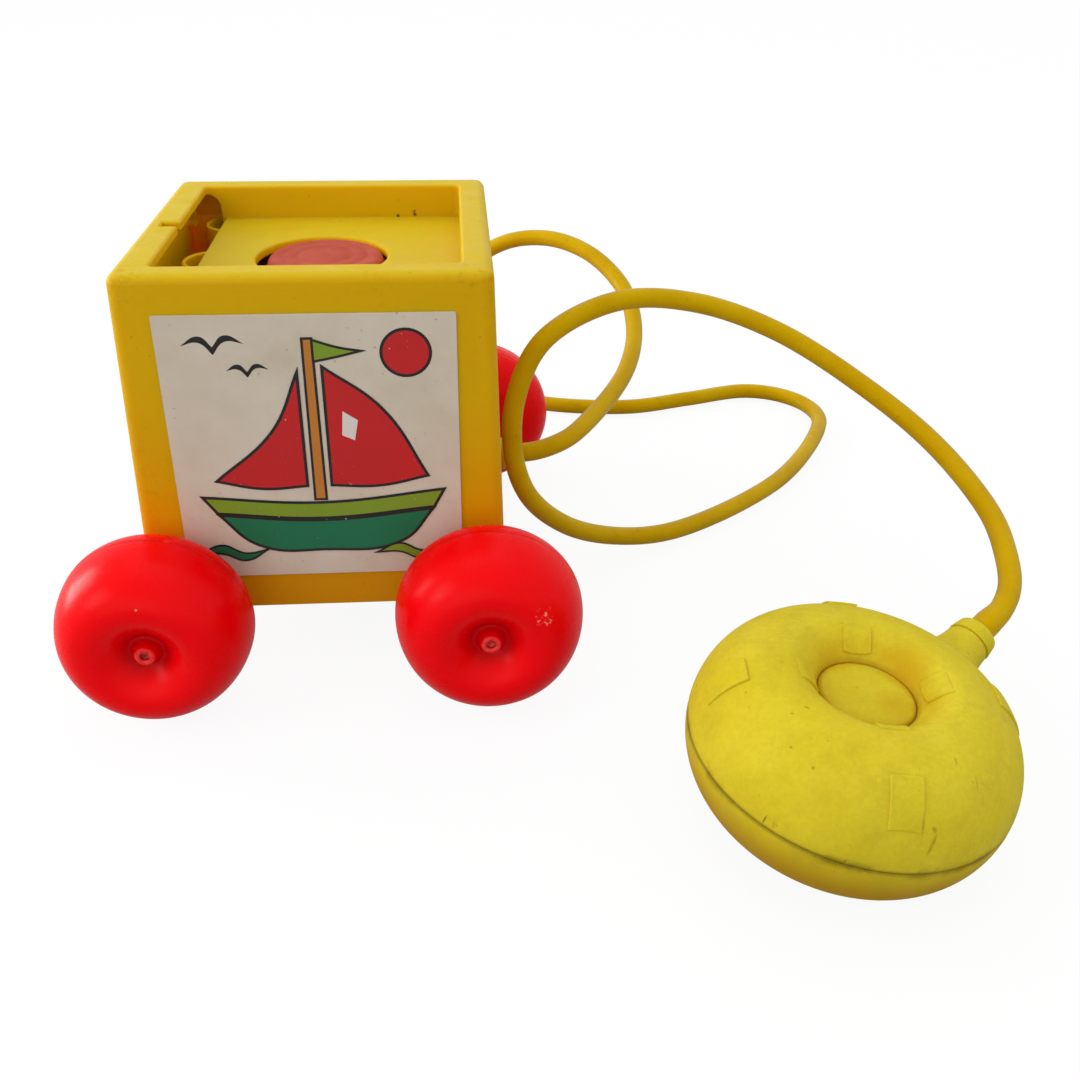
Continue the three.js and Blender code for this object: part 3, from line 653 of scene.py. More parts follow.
def makeWheels(values):
    r, w, ridge, middle = values["radius"], values["width"], values["ridge"], values["equator"]
    back, bore, mouth = values["backFace"], values["bore"], values["mouth"]
    tip, end, roundness = values["nub"]
    profile = [(bore, 0), (back - 4, 0)]
    profile += arc(back, middle, r - back, middle, -90, -1.5, 26)
    # fine parting line at the widest place
    profile += [(r - values["seam"], middle)]
    profile += arc(ridge, middle, r - ridge, w - middle, 1.5, 90, 32)
    # the face rolls from the ridge down to the foot of the nub
    course = [profile[-2], profile[-1]] + values["dish"]
    for before, a, b, after in zip(course, course[1:], course[2:], course[3:] + [course[-1]]):
        for t in (0.25, 0.5, 0.75, 1):
            profile.append(tuple(
                q + (u - p) * t / 2 + (p - 2.5 * q + 2 * u - s / 2) * t * t + (1.5 * q - 1.5 * u + (s - p) / 2) * t ** 3
                for p, q, u, s in zip(before, a, b, after)))
    profile += arc(tip, end - roundness, roundness, roundness, 8, 90, 8)
    profile += [(mouth + out, end - down) for out, down in values["mouthRim"]] + [(bore, end - 0.8)]
    first = spunPiece("wheel", profile, 128)
    smooth(first, 38)
    steel = axleFinish()
    red = wheelFinish()
    rodEnd, rodR, edge = values["axleEnd"], values["axle"], values["axleEdge"]
    half = [(0, rodEnd + 0.1), (rodR - edge, rodEnd), (rodR, rodEnd - edge)]
    for name, way in (("front", 1), ("rear", -1)):
        x, z = way * block["axle"][0], block["axle"][1]
        rod = spunPiece(name + "_axle_rod", half + [(radius, -h) for radius, h in reversed(half)], 40)
        place = moved(x, 0, z) @ Matrix.Rotation(math.pi / 2, 4, "X")
        settle(rod, place, 30, steel, name + "_wheelset", "steel", name + "_axle")
        for side, out in (("left", 1), ("right", -1)):
            place = moved(x, out * values["back"], z) @ Matrix.Rotation(-out * math.pi / 2, 4, "X")
            piece = copyPiece(first, name + "_" + side + "_tyre", place)
            dress(piece, red, name + "_wheelset", "red_plastic", name + "_" + side + "_wheel")
    bpy.data.objects.remove(first)


makeWheels(wheel)
print("wheels made")


# pop-up top, bellows and the fittings inside

popUp = {
    "radius": 17.3, "middle": (0.9, 1.2), "foot": 84.4, "top": 90.4, "edge": 2.4,
    "lip": [(0, 2), (0.45, 2.3), (0.6, 2.7), (0.45, 3.1), (0, 3.4)],
    "rings": (12.6, 8.3), "ringHalf": (0.75, 0.3), "ringDepth": 0.22,
}
folds = {
    "foot": 40.3, "top": 84.25, "crest": 16.5, "valley": 13, "cuff": 11.5, "cuffHeight": 5, "count": 6, "wall": 1.2,
    "steps": 12,
}
socket = {
    "x": 52.347, "flange": 5.3, "thickness": 2.5, "edge": 1.1, "neck": 4.5, "bore": 1.75, "inside": 6.5,
    "mouth": (3.9, 3.4),
}


def vinylFinish():
    finish = Finish("redVinyl", shine=0.2, glow=0.08, glowReach=(1, 0.2, 0.12), glowDepth=0.002)
    finish.start((60, 5, 0.65, 0.3, 0.7), (184, 70, 50), (196, 84, 64))
    finish.lay(finish.cloud(170, 8, 0.75, 0.5, 0.74), 0.25, 208, 118, 96)    # bloom
    finish.lay(finish.cloud(480, 4, 0.6, 0.64, 0.74), 0.4, 112, 34, 26)    # dirt
    finish.roughen(140, 6, 0.7, 0.5, 0.72)
    finish.dents(900, 4, 0.6, 0.18, 0.15)
    return finish.done()


def makePopUp(values, wall, port):
    vinyl = vinylFinish()
    r, foot, top, edge = values["radius"], values["foot"], values["top"], values["edge"]
    profile = [(0, foot), (r, foot)] + [(r + out, foot + up) for out, up in values["lip"]]
    profile += arc(r - edge, top - edge, edge, edge, 0, 90, 10)
    wide, narrow = values["ringHalf"]
    low = top - values["ringDepth"]
    for ring in values["rings"]:
        profile += [(ring + wide, top), (ring + narrow, low), (ring - narrow, low), (ring - wide, top)]
    profile += [(0, top + 0.15)]
    piece = spunPiece("pop_top", profile, 96)
    settle(piece, moved(*values["middle"], 0), 50, vinyl, "pop_up", "red_vinyl", "bellows_top")

    outside = [(wall["cuff"], wall["foot"]), (wall["cuff"], wall["foot"] + wall["cuffHeight"] - 1)]
    pitch = (wall["top"] - wall["foot"] - wall["cuffHeight"]) / wall["count"]
    mean, swing = (wall["crest"] + wall["valley"]) / 2, (wall["crest"] - wall["valley"]) / 2
    for i in range(wall["count"] * wall["steps"] + 1):
        t = i / wall["steps"]
        outside.append((mean - swing * math.cos(2 * math.pi * t), wall["foot"] + wall["cuffHeight"] + t * pitch))
    inner = [(radius - wall["wall"], h) for radius, h in reversed(outside)]
    piece = spunPiece("bellows_wall", outside + inner, 72)
    smooth(piece, 50)
    dress(piece, vinyl, None, "red_vinyl", "bellows_folds")
    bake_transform(piece)

    flange, t, edge, bore, neck = port["flange"], port["thickness"], port["edge"], port["bore"], port["neck"]
    wide, narrow = port["mouth"]
    low = t - wide + narrow
    profile = [(bore, -port["inside"]), (neck, -port["inside"]), (neck, 0), (flange, 0)]
    profile += arc(flange - edge, t - edge, edge, edge, 0, 90, 6) + [(wide, t), (narrow, low), (bore, low)]
    piece = spunPiece("hose_bush", profile, 64)
    place = moved(port["x"], 0, hose["route"][0][2]) @ Matrix.Rotation(math.pi / 2, 4, "Y")
    settle(piece, place, 35, yellowPlastic, "block", "yellow_plastic", "hose_socket")


makePopUp(popUp, folds, socket)
print("pop-up made")


# squeeze bulb, in its own leaning frame with the seam at height 0

bulb = {
    "middle": (134.94, -126.85, 4.10), "lean": (0.116, -0.052, 1), "radius": 41.05, "half": 22.65, "crest": 20.9,
    "wall": 3, "dip": 12.65, "dipDepth": 6.8, "dipCurve": 1.8, "seamGap": 0.24, "disc": 12.08, "discThickness": 3,
    "padTurns": (-94, -4, 86, 176), "padWidth": 7.6, "padHeight": 0.6, "padRoot": 0.8, "padEdge": 0.2,
    "outerPad": (30.7, 38.3), "innerPad": (13.6, 18.9), "lip": (0.42, 0.4),
    "crease": [(0.2, 0.13), (0.36, 0.4), (0.45, 0.8)],
    "give": (2, 15.3), "neckGive": ((46.1, 16.4), (38.75, 22.1)), "neckTurn": 36.5, "neckRise": 23,
    "neckReach": 53.5, "neckHeight": 12.3, "neckBore": 3.5,
    "collar": (5.65, 6.2, 4.2), "collarBore": (3.45, 3.75), "collarEdges": (0.25, 0.8),
    "stains": [((149.4, -119.5, 21.5), 8.5), ((142.8, -131.3, 19), 7)],
    "dots": [
        ((115.5, -154.3, 21.8), 0.6), ((116, -148.8, 25.3), 0.4),
        ((111.6, -149.3, 23.5), 0.45), ((119.5, -150.1, 25.6), 0.4),
    ],
    # from, to, width and depth of colour
    "scrapes": [
        ((105.6, -155.2, 6.7), (106.5, -155.3, 9.4), 0.34, 0.75),
        ((107.5, -156.9, 7), (108, -156.8, 9.2), 0.34, 0.6),
        ((137.4, -166.1, 11.3), (137.6, -163.4, 16.8), 0.6, 0.35),
        ((139.7, -164.9, 13.8), (140.9, -165.4, 11.9), 0.7, 0.45),
        ((140.9, -165.4, 11.9), (138.8, -167.1, 6.9), 0.65, 0.5),
        ((121.5, -165.5, 4.3), (122, -165.5, 5.3), 0.32, 0.6),
        ((151.8, -156.4, 19.3), (151.8, -158.7, 16.8), 0.28, 0.7),
        ((147.4, -153.5, 22.7), (147.6, -155.3, 21.6), 0.28, 0.5),
        ((116.5, -140.6, 27.7), (117.6, -141.2, 27.6), 0.28, 0.6),
    ],
    "neck": [
        (6.1, -3.9), (6.15, -6.5), (6.5, -8.8), (7.2, -11), (8.4, -13.2), (10.2, -15.4), (12.6, -17.6), (15.6, -19.8),
        (19, -22), (18, -24.5),
    ],
}
lean = Vector(bulb["lean"]).normalized()
bulbTurn = Vector((0, 0, 1)).rotation_difference(lean)
bulbPlace = moved(*bulb["middle"]) @ bulbTurn.to_matrix().to_4x4()


def domeHeight(radius):
    crest = bulb["crest"]
    if radius >= crest:
        return bulb["half"] * math.sqrt(max(0, 1 - ((radius - crest) / (bulb["radius"] - crest)) ** 2))
    part = (crest - radius) / (crest - bulb["dip"])
    return bulb["half"] - bulb["dipDepth"] * part ** bulb["dipCurve"]


def bulbFinish():
    finish = Finish("bulbRubber", shine=0.12, glow=0.1, glowReach=(1, 0.8, 0.12), glowDepth=0.002)
    # coordinates in the bulb's own leaning frame
    middle = Vector(bulb["middle"])
    turn = bulbPlace.inverted().to_euler()
    shifted = finish.node("ShaderNodeVectorMath", {0: finish.coords, 1: middle * mm}, operation="SUBTRACT").outputs[0]
    own = finish.node("ShaderNodeMapping", {"Vector": shifted, "Rotation": turn}).outputs[0]
    height = finish.axis(2, own)
    fromSeam = finish.math("ABSOLUTE", height)
    finish.start((30, 5, 0.6, 0.3, 0.7), (215, 193, 31), (227, 208, 48))
    # the lower half turns darker and more orange: partly its own tone, partly painted shade on the underside
    low = finish.band(height, 0.004, -0.012)
    finish.lay(low, 0.9, 188, 138, 0)
    finish.lay(finish.cloud(75, 9, 0.75, 0.46, 0.72), 0.3, 172, 152, 40)    # grey
    # dirt in the seam
    seam = finish.band(fromSeam, 0.0012, 0.0002)
    finish.lay(seam, 0.55, 96, 76, 8)
    blot = finish.times(finish.band(fromSeam, 0.0026, 0.0003), finish.cloud(90, 6, 0.65, 0.42, 0.6))
    finish.lay(blot, 0.6, 116, 96, 2)
    finish.lay(finish.cloud(760, 3, 0.6, 0.38, 0.62), 0.14, 186, 160, 18)    # grain
    # painted shade round the dip: a brown ring at the disc's edge and a more orange funnel
    flat = finish.node("ShaderNodeCombineXYZ", {0: finish.axis(0, own), 1: finish.axis(1, own)}).outputs[0]
    away = finish.node("ShaderNodeVectorMath", {0: flat}, operation="LENGTH").outputs[1]
    onTop = finish.band(height, 0.011, 0.014)
    ring = finish.band(finish.math("ABSOLUTE", finish.math("SUBTRACT", away, 0.0121)), 0.0013, 0.0002)
    finish.lay(finish.times(ring, onTop), 0.5, 150, 102, 0)
    funnel = finish.times(finish.band(away, 0.0185, 0.0125), finish.band(away, 0.008, 0.0115))
    dipShade = finish.times(funnel, onTop)
    finish.lay(dipShade, finish.cloud(95, 5, 0.6, 0.36, 0.64, 0.1, 0.6), 204, 158, 2)
    finish.lay(finish.cloud(560, 3, 0.55, 0.71, 0.77), 0.45, 122, 100, 20)    # specks
    scuff = finish.band(finish.noise(60, 7, 0.65, (1, 9, 5), (0.4, 0.2, 0.9), 0.4), 0.66, 0.70)
    finish.lay(scuff, 0.22, 136, 116, 30)
    # stains beside the dip, then dots and thin scrapes on the dome
    for point, reach in bulb["stains"]:
        finish.lay(finish.spot(point, reach, 0.2), 0.5, 208, 162, 0)
    for point, reach in bulb["dots"]:
        finish.lay(finish.spot(point, reach, 0.4), 0.5, 128, 106, 10)
    broken = finish.cloud(480, 3, 0.6, 0.34, 0.58, 0.3, 1)
    for a, b, width, amount in bulb["scrapes"]:
        a, b = Vector(a), Vector(b)
        along = (b - a).normalized()
        side = ((a + b) / 2 - middle).cross(along).normalized()
        place = finish.node("ShaderNodeMapping", {
            "Vector": finish.coords, "Location": (a + b) / 2 * mm,
            "Rotation": Matrix((along, side, along.cross(side))).transposed().to_euler(),
            "Scale": Vector(((b - a).length * 0.65, width, 3)) * mm,
        }, vector_type="TEXTURE").outputs[0]
        far = finish.node("ShaderNodeVectorMath", {0: place}, operation="LENGTH").outputs[1]
        here = finish.times(finish.band(far, 1, 0.35), broken)
        finish.lay(here, amount, 118, 94, 8)
    finish.roughen(110, 7, 0.7, 0.54, 0.74)
    finish.dents(1100, 4, 0.6, 0.16, 0.15)
    finish.dents(70, 4, 0.55, 0.2, 0.6)
    finish.bump(scuff, -0.15, 0.15)
    return finish.done()


def padPiece(turn, inner, outer, width, height):
    # a thin raised patch that follows the dome
    deselect()
    bpy.ops.mesh.primitive_grid_add(x_subdivisions=22, y_subdivisions=16, size=1)
    patch = bpy.context.object
    for vertex in patch.data.vertices:
        radius = inner + (outer - inner) * (vertex.co.x + 0.5)
        across = vertex.co.y * width
        far = math.hypot(radius, across)
        angle = math.radians(turn) + math.atan2(across, radius)
        sink = height * max(0, vertex.co.x * 2 - 0.1) ** 2    # the outer end fades into the dome
        vertex.co = Vector((far * math.cos(angle), far * math.sin(angle), domeHeight(far) - sink)) * mm
    thick = patch.modifiers.new("thickness", "SOLIDIFY")
    deep = height + bulb["padRoot"]
    thick.thickness = deep * mm
    thick.offset = -1 + 2 * height / deep
    rounded = patch.modifiers.new("rounding", "BEVEL")
    rounded.width = bulb["padEdge"] * mm
    rounded.segments = 3
    rounded.limit_method = "ANGLE"
    rounded.angle_limit = math.radians(50)
    applyAll(patch)
    return patch


def makeBulb(values):
    rubber = bulbFinish()
    radius, half, crest = values["radius"], values["half"], values["crest"]
    wall, dip, gap = values["wall"], values["dip"], values["seamGap"] / 2
    floor = half - values["dipDepth"]
    shoulder = arc(crest, 0, radius - crest, half, 3, 90, 44)
    funnel = [(r, domeHeight(r)) for r in (crest - (crest - dip) * i / 24 for i in range(1, 25))]
    inner = arc(crest, 0, radius - crest - wall, half - wall, 90, 1, 20)

    # the upper half ends in a rounded lip over the seam
    lipR, lipH = values["lip"]
    lip = arc(radius - lipR, lipH + gap, lipR, lipH, -90, -10, 6)
    sleeve = floor - values["discThickness"] - 0.4
    crease = [(dip - back, floor - down) for back, down in values["crease"]]
    throat = [(crease[-1][0], sleeve), (dip + wall, sleeve), (dip + wall, floor), (crest - 2, half - wall - 0.6)]
    profile = lip + shoulder + funnel + crease + throat + inner[:-1] + [(radius - wall, gap)]
    dome = spunPiece("bulb_dome", profile, 160)
    pads = []
    for turn in values["padTurns"]:
        pads.append(padPiece(turn, *values["outerPad"], values["padWidth"], values["padHeight"]))
        pads.append(padPiece(turn, *values["innerPad"], values["padWidth"] * 0.95, values["padHeight"]))
    dome = joinPieces([dome] + pads, "bulb_dome")
    settle(dome, bulbPlace, 40, rubber, None, "bulb_rubber", "bulb_upper")
    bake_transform(dome)

    lip = arc(radius - 0.5, -gap - lipH, lipR, lipH, 90, -20, 7)
    # the lower half is the upper one turned over, with a closed dip
    outer, under, inside = ([(r, -h) for r, h in points] for points in (shoulder, funnel, inner))
    under += [(0, -floor)]
    inside = [(0, wall - floor), (dip + wall, wall - floor)] + inside[:-1] + [(radius - wall, -gap)]
    lower = spunPiece("bulb_bowl", list(reversed(inside + lip + outer[1:] + under)), 160)
    settle(lower, bulbPlace, 40, rubber, "block", "bulb_rubber", "bulb_lower")

    r, thick = values["disc"], values["discThickness"]
    profile = [(0, floor - thick), (r + 0.1, floor - thick), (r + 0.1, floor - 1.05)]
    profile += arc(r - 1, floor - 1, 1, 1, 0, 68, 8) + arc(0, floor - 0.02, r - 0.7, 0.57, 10, 82, 9)
    profile += [(0, floor + 0.55)]
    disc = spunPiece("bulb_button", profile, 96)
    settle(disc, bulbPlace, 40, rubber, "bulb_press", "bulb_rubber", "bulb_press_disc")

    # neck flaring into the dome, and its collar
    turn, rise = math.radians(values["neckTurn"]), math.radians(values["neckRise"])
    reach, bore = values["neckReach"], values["neckBore"]
    end = Vector((reach * math.cos(turn), reach * math.sin(turn), values["neckHeight"])) * mm
    way = Vector((math.cos(rise) * math.cos(turn), math.cos(rise) * math.sin(turn), math.sin(rise)))
    along = Matrix.Translation(end) @ way.to_track_quat("Z", "Y").to_matrix().to_4x4()
    neck = spunPiece("bulb_neck", [(bore, values["neck"][0][1])] + values["neck"] + [(bore, -27)], 72)
    rounding = neck.modifiers.new("rounding", "SUBSURF")
    rounding.levels = rounding.render_levels = 1
    applyAll(neck)
    placeMesh(neck, along)
    cutBox(neck, (-60, -60, -60), (60, 60, gap))
    settle(neck, bulbPlace, 40, rubber, None, "bulb_rubber")
    # its root goes down with the dome, its collar end stays
    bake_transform(neck)
    tip, back, length = values["collar"]
    bore, mouth = values["collarBore"]
    low, high = values["collarEdges"]
    profile = [(bore, -length)] + arc(back - low, low - length, low, low, -90, 0, 4)
    profile += arc(tip - high, -high, high, high, 5, 90, 6) + [(mouth, 0), (bore, bore - mouth)]
    collar = spunPiece("bulb_collar", profile, 72)
    settle(collar, bulbPlace @ along, 40, rubber, "block", "bulb_rubber", "neck_collar")


makeBulb(bulb)
print("bulb made")


# labels: a paper square on three sides, with a generic picture printed on each

label = {"size": 79.5, "thickness": 0.35, "gap": 0.15, "belowTop": 10.4, "ink": 0.012, "corner": 0.6, "edge": 0.06}
labelMiddle = block["height"] - label["belowTop"] - label["size"] / 2


def paperFinish():
    finish = Finish("labelPaper", shine=0.3)
    finish.start((40, 6, 0.7, 0.3, 0.72), (213, 204, 187), (204, 192, 171))
    finish.lay(finish.cloud(26, 7, 0.7, 0.54, 0.76), 0.35, 186, 174, 151)    # stain
    finish.lay(finish.cloud(640, 2, 0.5, 0.72, 0.76), 0.45, 120, 108, 98)    # specks
    finish.roughen(200, 6, 0.7, 0.5, 0.7)
    finish.dents(1400, 5, 0.65, 0.12, 0.08)
    finish.dents(60, 4, 0.6, 0.12, 0.3)
    return finish.done()


def inkFinish(name, color, worn):
    finish = Finish(name, shine=0.35)
    patch = finish.cloud(70, 6, 0.7, 0.35, 0.7)
    finish.color = finish.mix(finish.times(patch, 0.3), linear(*color), linear(*worn))
    finish.lay(finish.cloud(700, 3, 0.6, 0.71, 0.75), 0.7, 216, 206, 198)    # nick
    finish.roughen(200, 6, 0.7, 0.42, 0.62)
    finish.dents(1200, 4, 0.6, 0.08, 0.08)
    return finish.done()


inks = {
    "black": inkFinish("blackInk", (24, 22, 22), (52, 46, 44)),
    "red": inkFinish("redInk", (196, 28, 30), (176, 30, 30)),
    "lime": inkFinish("limeInk", (124, 152, 34), (110, 138, 38)),
    "green": inkFinish("greenInk", (18, 112, 72), (22, 98, 62)),
    "brown": inkFinish("brownInk", (192, 122, 44), (172, 108, 40)),
    "white": inkFinish("whiteInk", (224, 218, 212), (208, 200, 192)),
}

# each shape: ink, its line's width and the points of its outline in mm from the label's middle; c marks a corner
boatArt = [
    ("black", 0, [(-33, 31.4, "c"), (-28, 34), (-24.8, 31, "c"), (-21.4, 34.2), (-16.4, 31.8, "c"),
        (-21.4, 32.4), (-24.8, 28.8, "c"), (-28.2, 32.2)]),
    ("black", 0, [(-22, 24.2, "c"), (-18.6, 26), (-16.4, 23.9, "c"), (-14, 26.1), (-10.6, 24.5, "c"),
        (-14, 24.8), (-16.4, 22.3, "c"), (-18.8, 24.6)]),
    ("red", 0.85, [(19.4, 28.6), (26, 35.2), (32.6, 28.6), (26, 22)]),
    ("brown", 0.7, [(-1.3, 33, "c"), (1.3, 33, "c"), (1.6, -15, "c"), (-1.6, -15, "c")]),
    ("lime", 0.7, [(1.3, 32.6, "c"), (8, 30.4), (14, 29.3, "c"), (7.8, 27.8), (1.3, 26.5, "c")]),
    ("red", 0.85, [(3.4, 25, "c"), (18.8, 12.6), (30.6, -8.2, "c"), (17, -11), (3.4, -10.6, "c")]),
    ("white", 0, [(8, 12, "c"), (12, 9.2, "c"), (10.8, 3.2, "c"), (7.4, 4.8, "c")]),
    ("red", 0.85, [(-3.4, 23.4, "c"), (-11.4, 6.6), (-28.4, -8.6, "c"), (-15.8, -11.2), (-3.4, -10.6, "c")]),
    ("lime", 0.85, [(-33, -13.6, "c"), (0, -16), (35, -12.6, "c"), (32, -18.2, "c"), (0, -21), (-29.4, -18.8, "c")]),
    ("green", 0.85, [(-29, -19.4, "c"), (0, -21.7), (31.6, -18.8, "c"), (22.6, -29), (0, -31.4), (-19, -29.4)]),
    ("green", 0.6, [(-36, -32.2, "c"), (-29.6, -29.2), (-23, -32), (-16.6, -31, "c"), (-23, -34.4), (-29.6, -32)]),
    ("lime", 0.6, [(15, -32.8, "c"), (21.4, -30), (28, -32.6), (35, -31.2, "c"), (28, -35.2), (21.4, -32.8)]),
]
houseArt = [
    ("lime", 0.85, [(-36, -26, "c"), (-12, -21.6), (14, -22.4), (36, -26.6, "c"), (36, -35.6, "c"),
        (-36, -35.6, "c")]),
    ("red", 0.85, [(-20, 6, "c"), (20, 6, "c"), (20, -26, "c"), (-20, -26, "c")]),
    ("green", 0.85, [(-26, 5, "c"), (0, 27, "c"), (26, 5, "c"), (20, 3.4, "c"), (0, 4.6), (-20, 3.4, "c")]),
    ("brown", 0.7, [(-5, -8), (0, -4.6), (5, -8), (5, -26, "c"), (-5, -26, "c")]),
    ("white", 0.7, [(-16, 0, "c"), (-9, 0, "c"), (-9, -9, "c"), (-16, -9, "c")]),
    ("white", 0.7, [(9, 0, "c"), (16, 0, "c"), (16, -9, "c"), (9, -9, "c")]),
    ("brown", 0.7, [(10, 29, "c"), (16, 29, "c"), (16, 15, "c"), (10, 20, "c")]),
    ("lime", 0.85, [(24, -13), (29, -4), (34, -13), (29, -20)]),
    ("brown", 0.6, [(28, -19.4, "c"), (30, -19.4, "c"), (30.4, -27, "c"), (27.6, -27, "c")]),
]
kiteArt = [
    ("red", 0.85, [(4, 31, "c"), (24, 12, "c"), (-2, -14, "c"), (-15, 15, "c")]),
    ("lime", 0.6, [(4, 30.2, "c"), (23, 12, "c"), (5.4, 13.4, "c")]),
    ("white", 0.6, [(-2, -13, "c"), (-14.2, 14.8, "c"), (4.2, 12.4, "c")]),
    ("black", 0, [(-2.4, -14, "c"), (-9, -19), (-7, -25), (-15, -30), (-22, -35, "c"), (-14.4, -30.8),
        (-6, -25), (-8.2, -19), (-1.8, -14.2, "c")]),
    ("green", 0.7, [(-11.4, -17, "c"), (-7.8, -20), (-4.6, -23.4, "c"), (-4.2, -18.6, "c"), (-8, -20.4),
        (-12, -22, "c")]),
    ("green", 0.7, [(-16, -25.6, "c"), (-12.6, -28.4), (-10, -32, "c"), (-9, -27.4, "c"), (-12.6, -29),
        (-17.4, -30.4, "c")]),
    ("lime", 0.85, [(-32, 26), (-24, 31), (-17, 28), (-20, 23), (-29, 22.4)]),
]


def inkShape(points, grow, layer):
    curve = bpy.data.curves.new("ink", "CURVE")
    curve.dimensions = "2D"
    curve.fill_mode = "BOTH"
    curve.resolution_u = 10
    curve.extrude = label["ink"] / 2 * mm
    curve.offset = grow * mm
    spline = curve.splines.new("BEZIER")
    spline.bezier_points.add(len(points) - 1)
    for knot, (x, y, *corner) in zip(spline.bezier_points, points):
        knot.co = (x * mm, y * mm, 0)
        knot.handle_left_type = knot.handle_right_type = "VECTOR" if corner else "AUTO"
    spline.use_cyclic_u = True
    activate(addObject("ink", curve))
    bpy.ops.object.convert(target="MESH")
    shape = bpy.context.object
    placeMesh(shape, moved(0, 0, (layer + 0.5) * label["ink"]))
    return shape


def makeLabel(name, art, turn, node, paper):
    size, thick = label["size"] / 2, label["thickness"]
    sheet = boxPiece(name + "_paper", (-size, -size, -thick), (size, size, 0))
    bevelWhere(sheet, lambda a, b: abs(a.z - b.z) > thick / 2, label["corner"], 3)
    bevelWhere(sheet, lambda a, b: min(a.z, b.z) > -0.01, label["edge"], 1)
    shapes = []
    for i, (ink, line, points) in enumerate(art):
        if line:
            back = inkShape(points, line / 2, 2 * i)
            back.data.materials.append(inks["black"])
            shapes.append(back)
        front = inkShape(points, -line / 2 if line else 0, 2 * i + 1)
        front.data.materials.append(inks[ink])
        shapes.append(front)
    picture = joinPieces(shapes, name + "_print")
    out = outerHalf(labelMiddle) + label["gap"] + thick
    # paper's own X to the right, Y up the drafted face and Z outwards
    upright = Matrix.Rotation(math.radians(90 - block["draft"]), 4, "X")
    place = Matrix.Rotation(turn, 4, "Z") @ moved(0, -out, labelMiddle) @ upright
    for piece in (sheet, picture):
        placeMesh(piece, place)
    smooth(sheet, 30)
    dress(sheet, paper, "block", "label_paper", node)
    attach(picture, "block")


paper = paperFinish()
makeLabel("right", boatArt, 0, "right_label", paper)
makeLabel("left", kiteArt, math.pi, "left_label", paper)
makeLabel("rear", houseArt, -math.pi / 2, "rear_label", paper)
print("labels made")


# screws under the base, and finishes for the solids that stay

screw = {"head": 2.8, "edge": 0.5, "sink": 0.2, "height": 1.6, "shank": 1.4, "length": 12, "cross": (3.2, 0.8, 0.9)}


def screwFinish():
    finish = Finish("screwSteel", metal=1.0)
    tarnish = finish.cloud(800, 6, 0.7, 0.4, 0.66)
    finish.color = finish.mix(tarnish, linear(172, 170, 166), linear(120, 112, 102))
    finish.set("Roughness", finish.band(tarnish, 0, 1, 0.28, 0.6))
    finish.dents(1600, 4, 0.6, 0.2, 0.1)
    return finish.done()


def makeScrews(values):
    steel = screwFinish()
    head, shank, foot, edge = values["head"], values["shank"], values["sink"], values["edge"]
    neck = foot + values["height"]
    tip = neck + values["length"]
    profile = [(0, foot), (head - edge, foot), (head, foot + edge), (head, neck)]
    first = spunPiece("screw", profile + [(shank, neck), (shank, tip - shank), (0, tip)], 40)
    length, width, depth = values["cross"]
    for x, y in ((length / 2, width / 2), (width / 2, length / 2)):
        cutBox(first, (-x, -y, foot - 0.5), (x, y, foot + depth))
    smooth(first, 30)
    x, y = base["screws"]
    for i, (sx, sy) in enumerate(((1, -1), (1, 1), (-1, -1), (-1, 1))):
        piece = copyPiece(first, "plate_screw_" + str(i + 1), moved(sx * x, sy * y, 0))
        dress(piece, steel, "block", "steel", "base_screw_" + str(i + 1))
    bpy.data.objects.remove(first)
    for node, material in (("air_post", yellowPlastic), ("neck_bush", yellowPlastic), ("bellows_clamp", steel)):
        setMaterial(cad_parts[node], material)


makeScrews(screw)
print("screws made")


# floor, backdrop and light

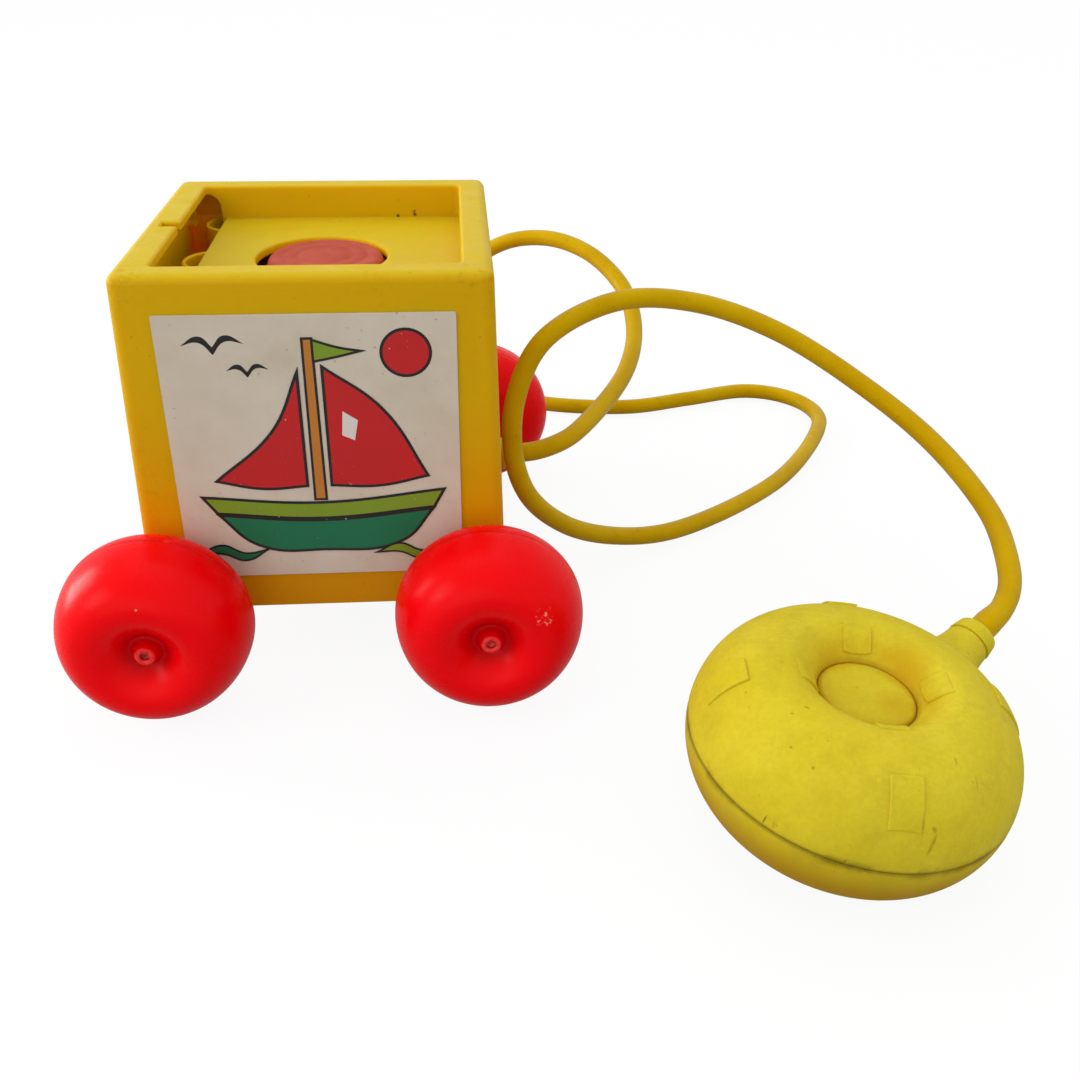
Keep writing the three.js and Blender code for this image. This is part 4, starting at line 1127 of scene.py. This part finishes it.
studio = {
    "floor": -21.16, "reach": 6.0, "floorTone": 0.36, "floorGlow": (0.75, 1.22), "mirror": 0.3, "sky": 0.78,
    "lampAim": (0.05, 0, 0.02),
    "lamps": {
        "topSoft": ((0.0, 0.3, 1.1), (1.0, 0.8), 1.3),
        "leftWindow": ((-1.1, 0.42, 0.28), (0.4, 0.7), 7.6),
        "leftFront": ((-0.95, -0.45, 0.6), (0.5, 0.5), 2.5),
        "frontSoft": ((-0.4, -1.15, 0.46), (0.9, 0.75), 1.3),
    },
}


def seenDirectly(tree, mirror):
    # 1 where the camera looks straight at it or through glass, less in a reflection
    path = addNode(tree, "ShaderNodeLightPath").outputs
    straight = {0: path["Is Camera Ray"], 1: path["Is Transmission Ray"]}
    seen = addNode(tree, "ShaderNodeMath", straight, operation="MAXIMUM").outputs[0]
    shine = {0: path["Is Glossy Ray"], 1: mirror, 2: seen}
    return addNode(tree, "ShaderNodeMath", shine, operation="MULTIPLY_ADD").outputs[0]


def makeStudio(values):
    deselect()
    bpy.ops.mesh.primitive_plane_add(size=values["reach"], location=(0, 0, values["floor"] * mm))
    floor = bpy.context.object
    floor.name = "floor"
    pale = Finish("paleFloor", color=(values["floorTone"],) * 3 + (1,), rough=0.9, shine=0.1)
    share, strength = values["floorGlow"]
    glow = pale.node("ShaderNodeEmission", {"Strength": strength}).outputs[0]
    level = pale.times(seenDirectly(pale.tree, values["mirror"]), share)
    mixed = pale.node("ShaderNodeMixShader", {0: level, 1: pale.shader.outputs[0], 2: glow}).outputs[0]
    pale.tree.links.new(mixed, pale.tree.nodes["Material Output"].inputs["Surface"])
    setMaterial(floor, pale.material)

    world = bpy.data.worlds.new("sky")
    scene.world = world
    world.use_nodes = True
    tree = world.node_tree
    back = tree.nodes["Background"].inputs
    seen = seenDirectly(tree, values["mirror"])
    level = addNode(tree, "ShaderNodeMapRange", {0: seen, 3: values["sky"], 4: 1.0}).outputs[0]
    tree.links.new(level, back["Strength"])
    back["Color"].default_value = (1, 1, 1, 1)

    for name, (place, size, power) in values["lamps"].items():
        light = bpy.data.lights.new(name, "AREA")
        light.shape = "RECTANGLE"
        light.size, light.size_y = size
        light.energy = power
        lamp = addObject(name, light)
        lamp.location = place
        lamp.rotation_euler = (Vector(values["lampAim"]) - Vector(place)).to_track_quat("-Z", "Y").to_euler()


makeStudio(studio)
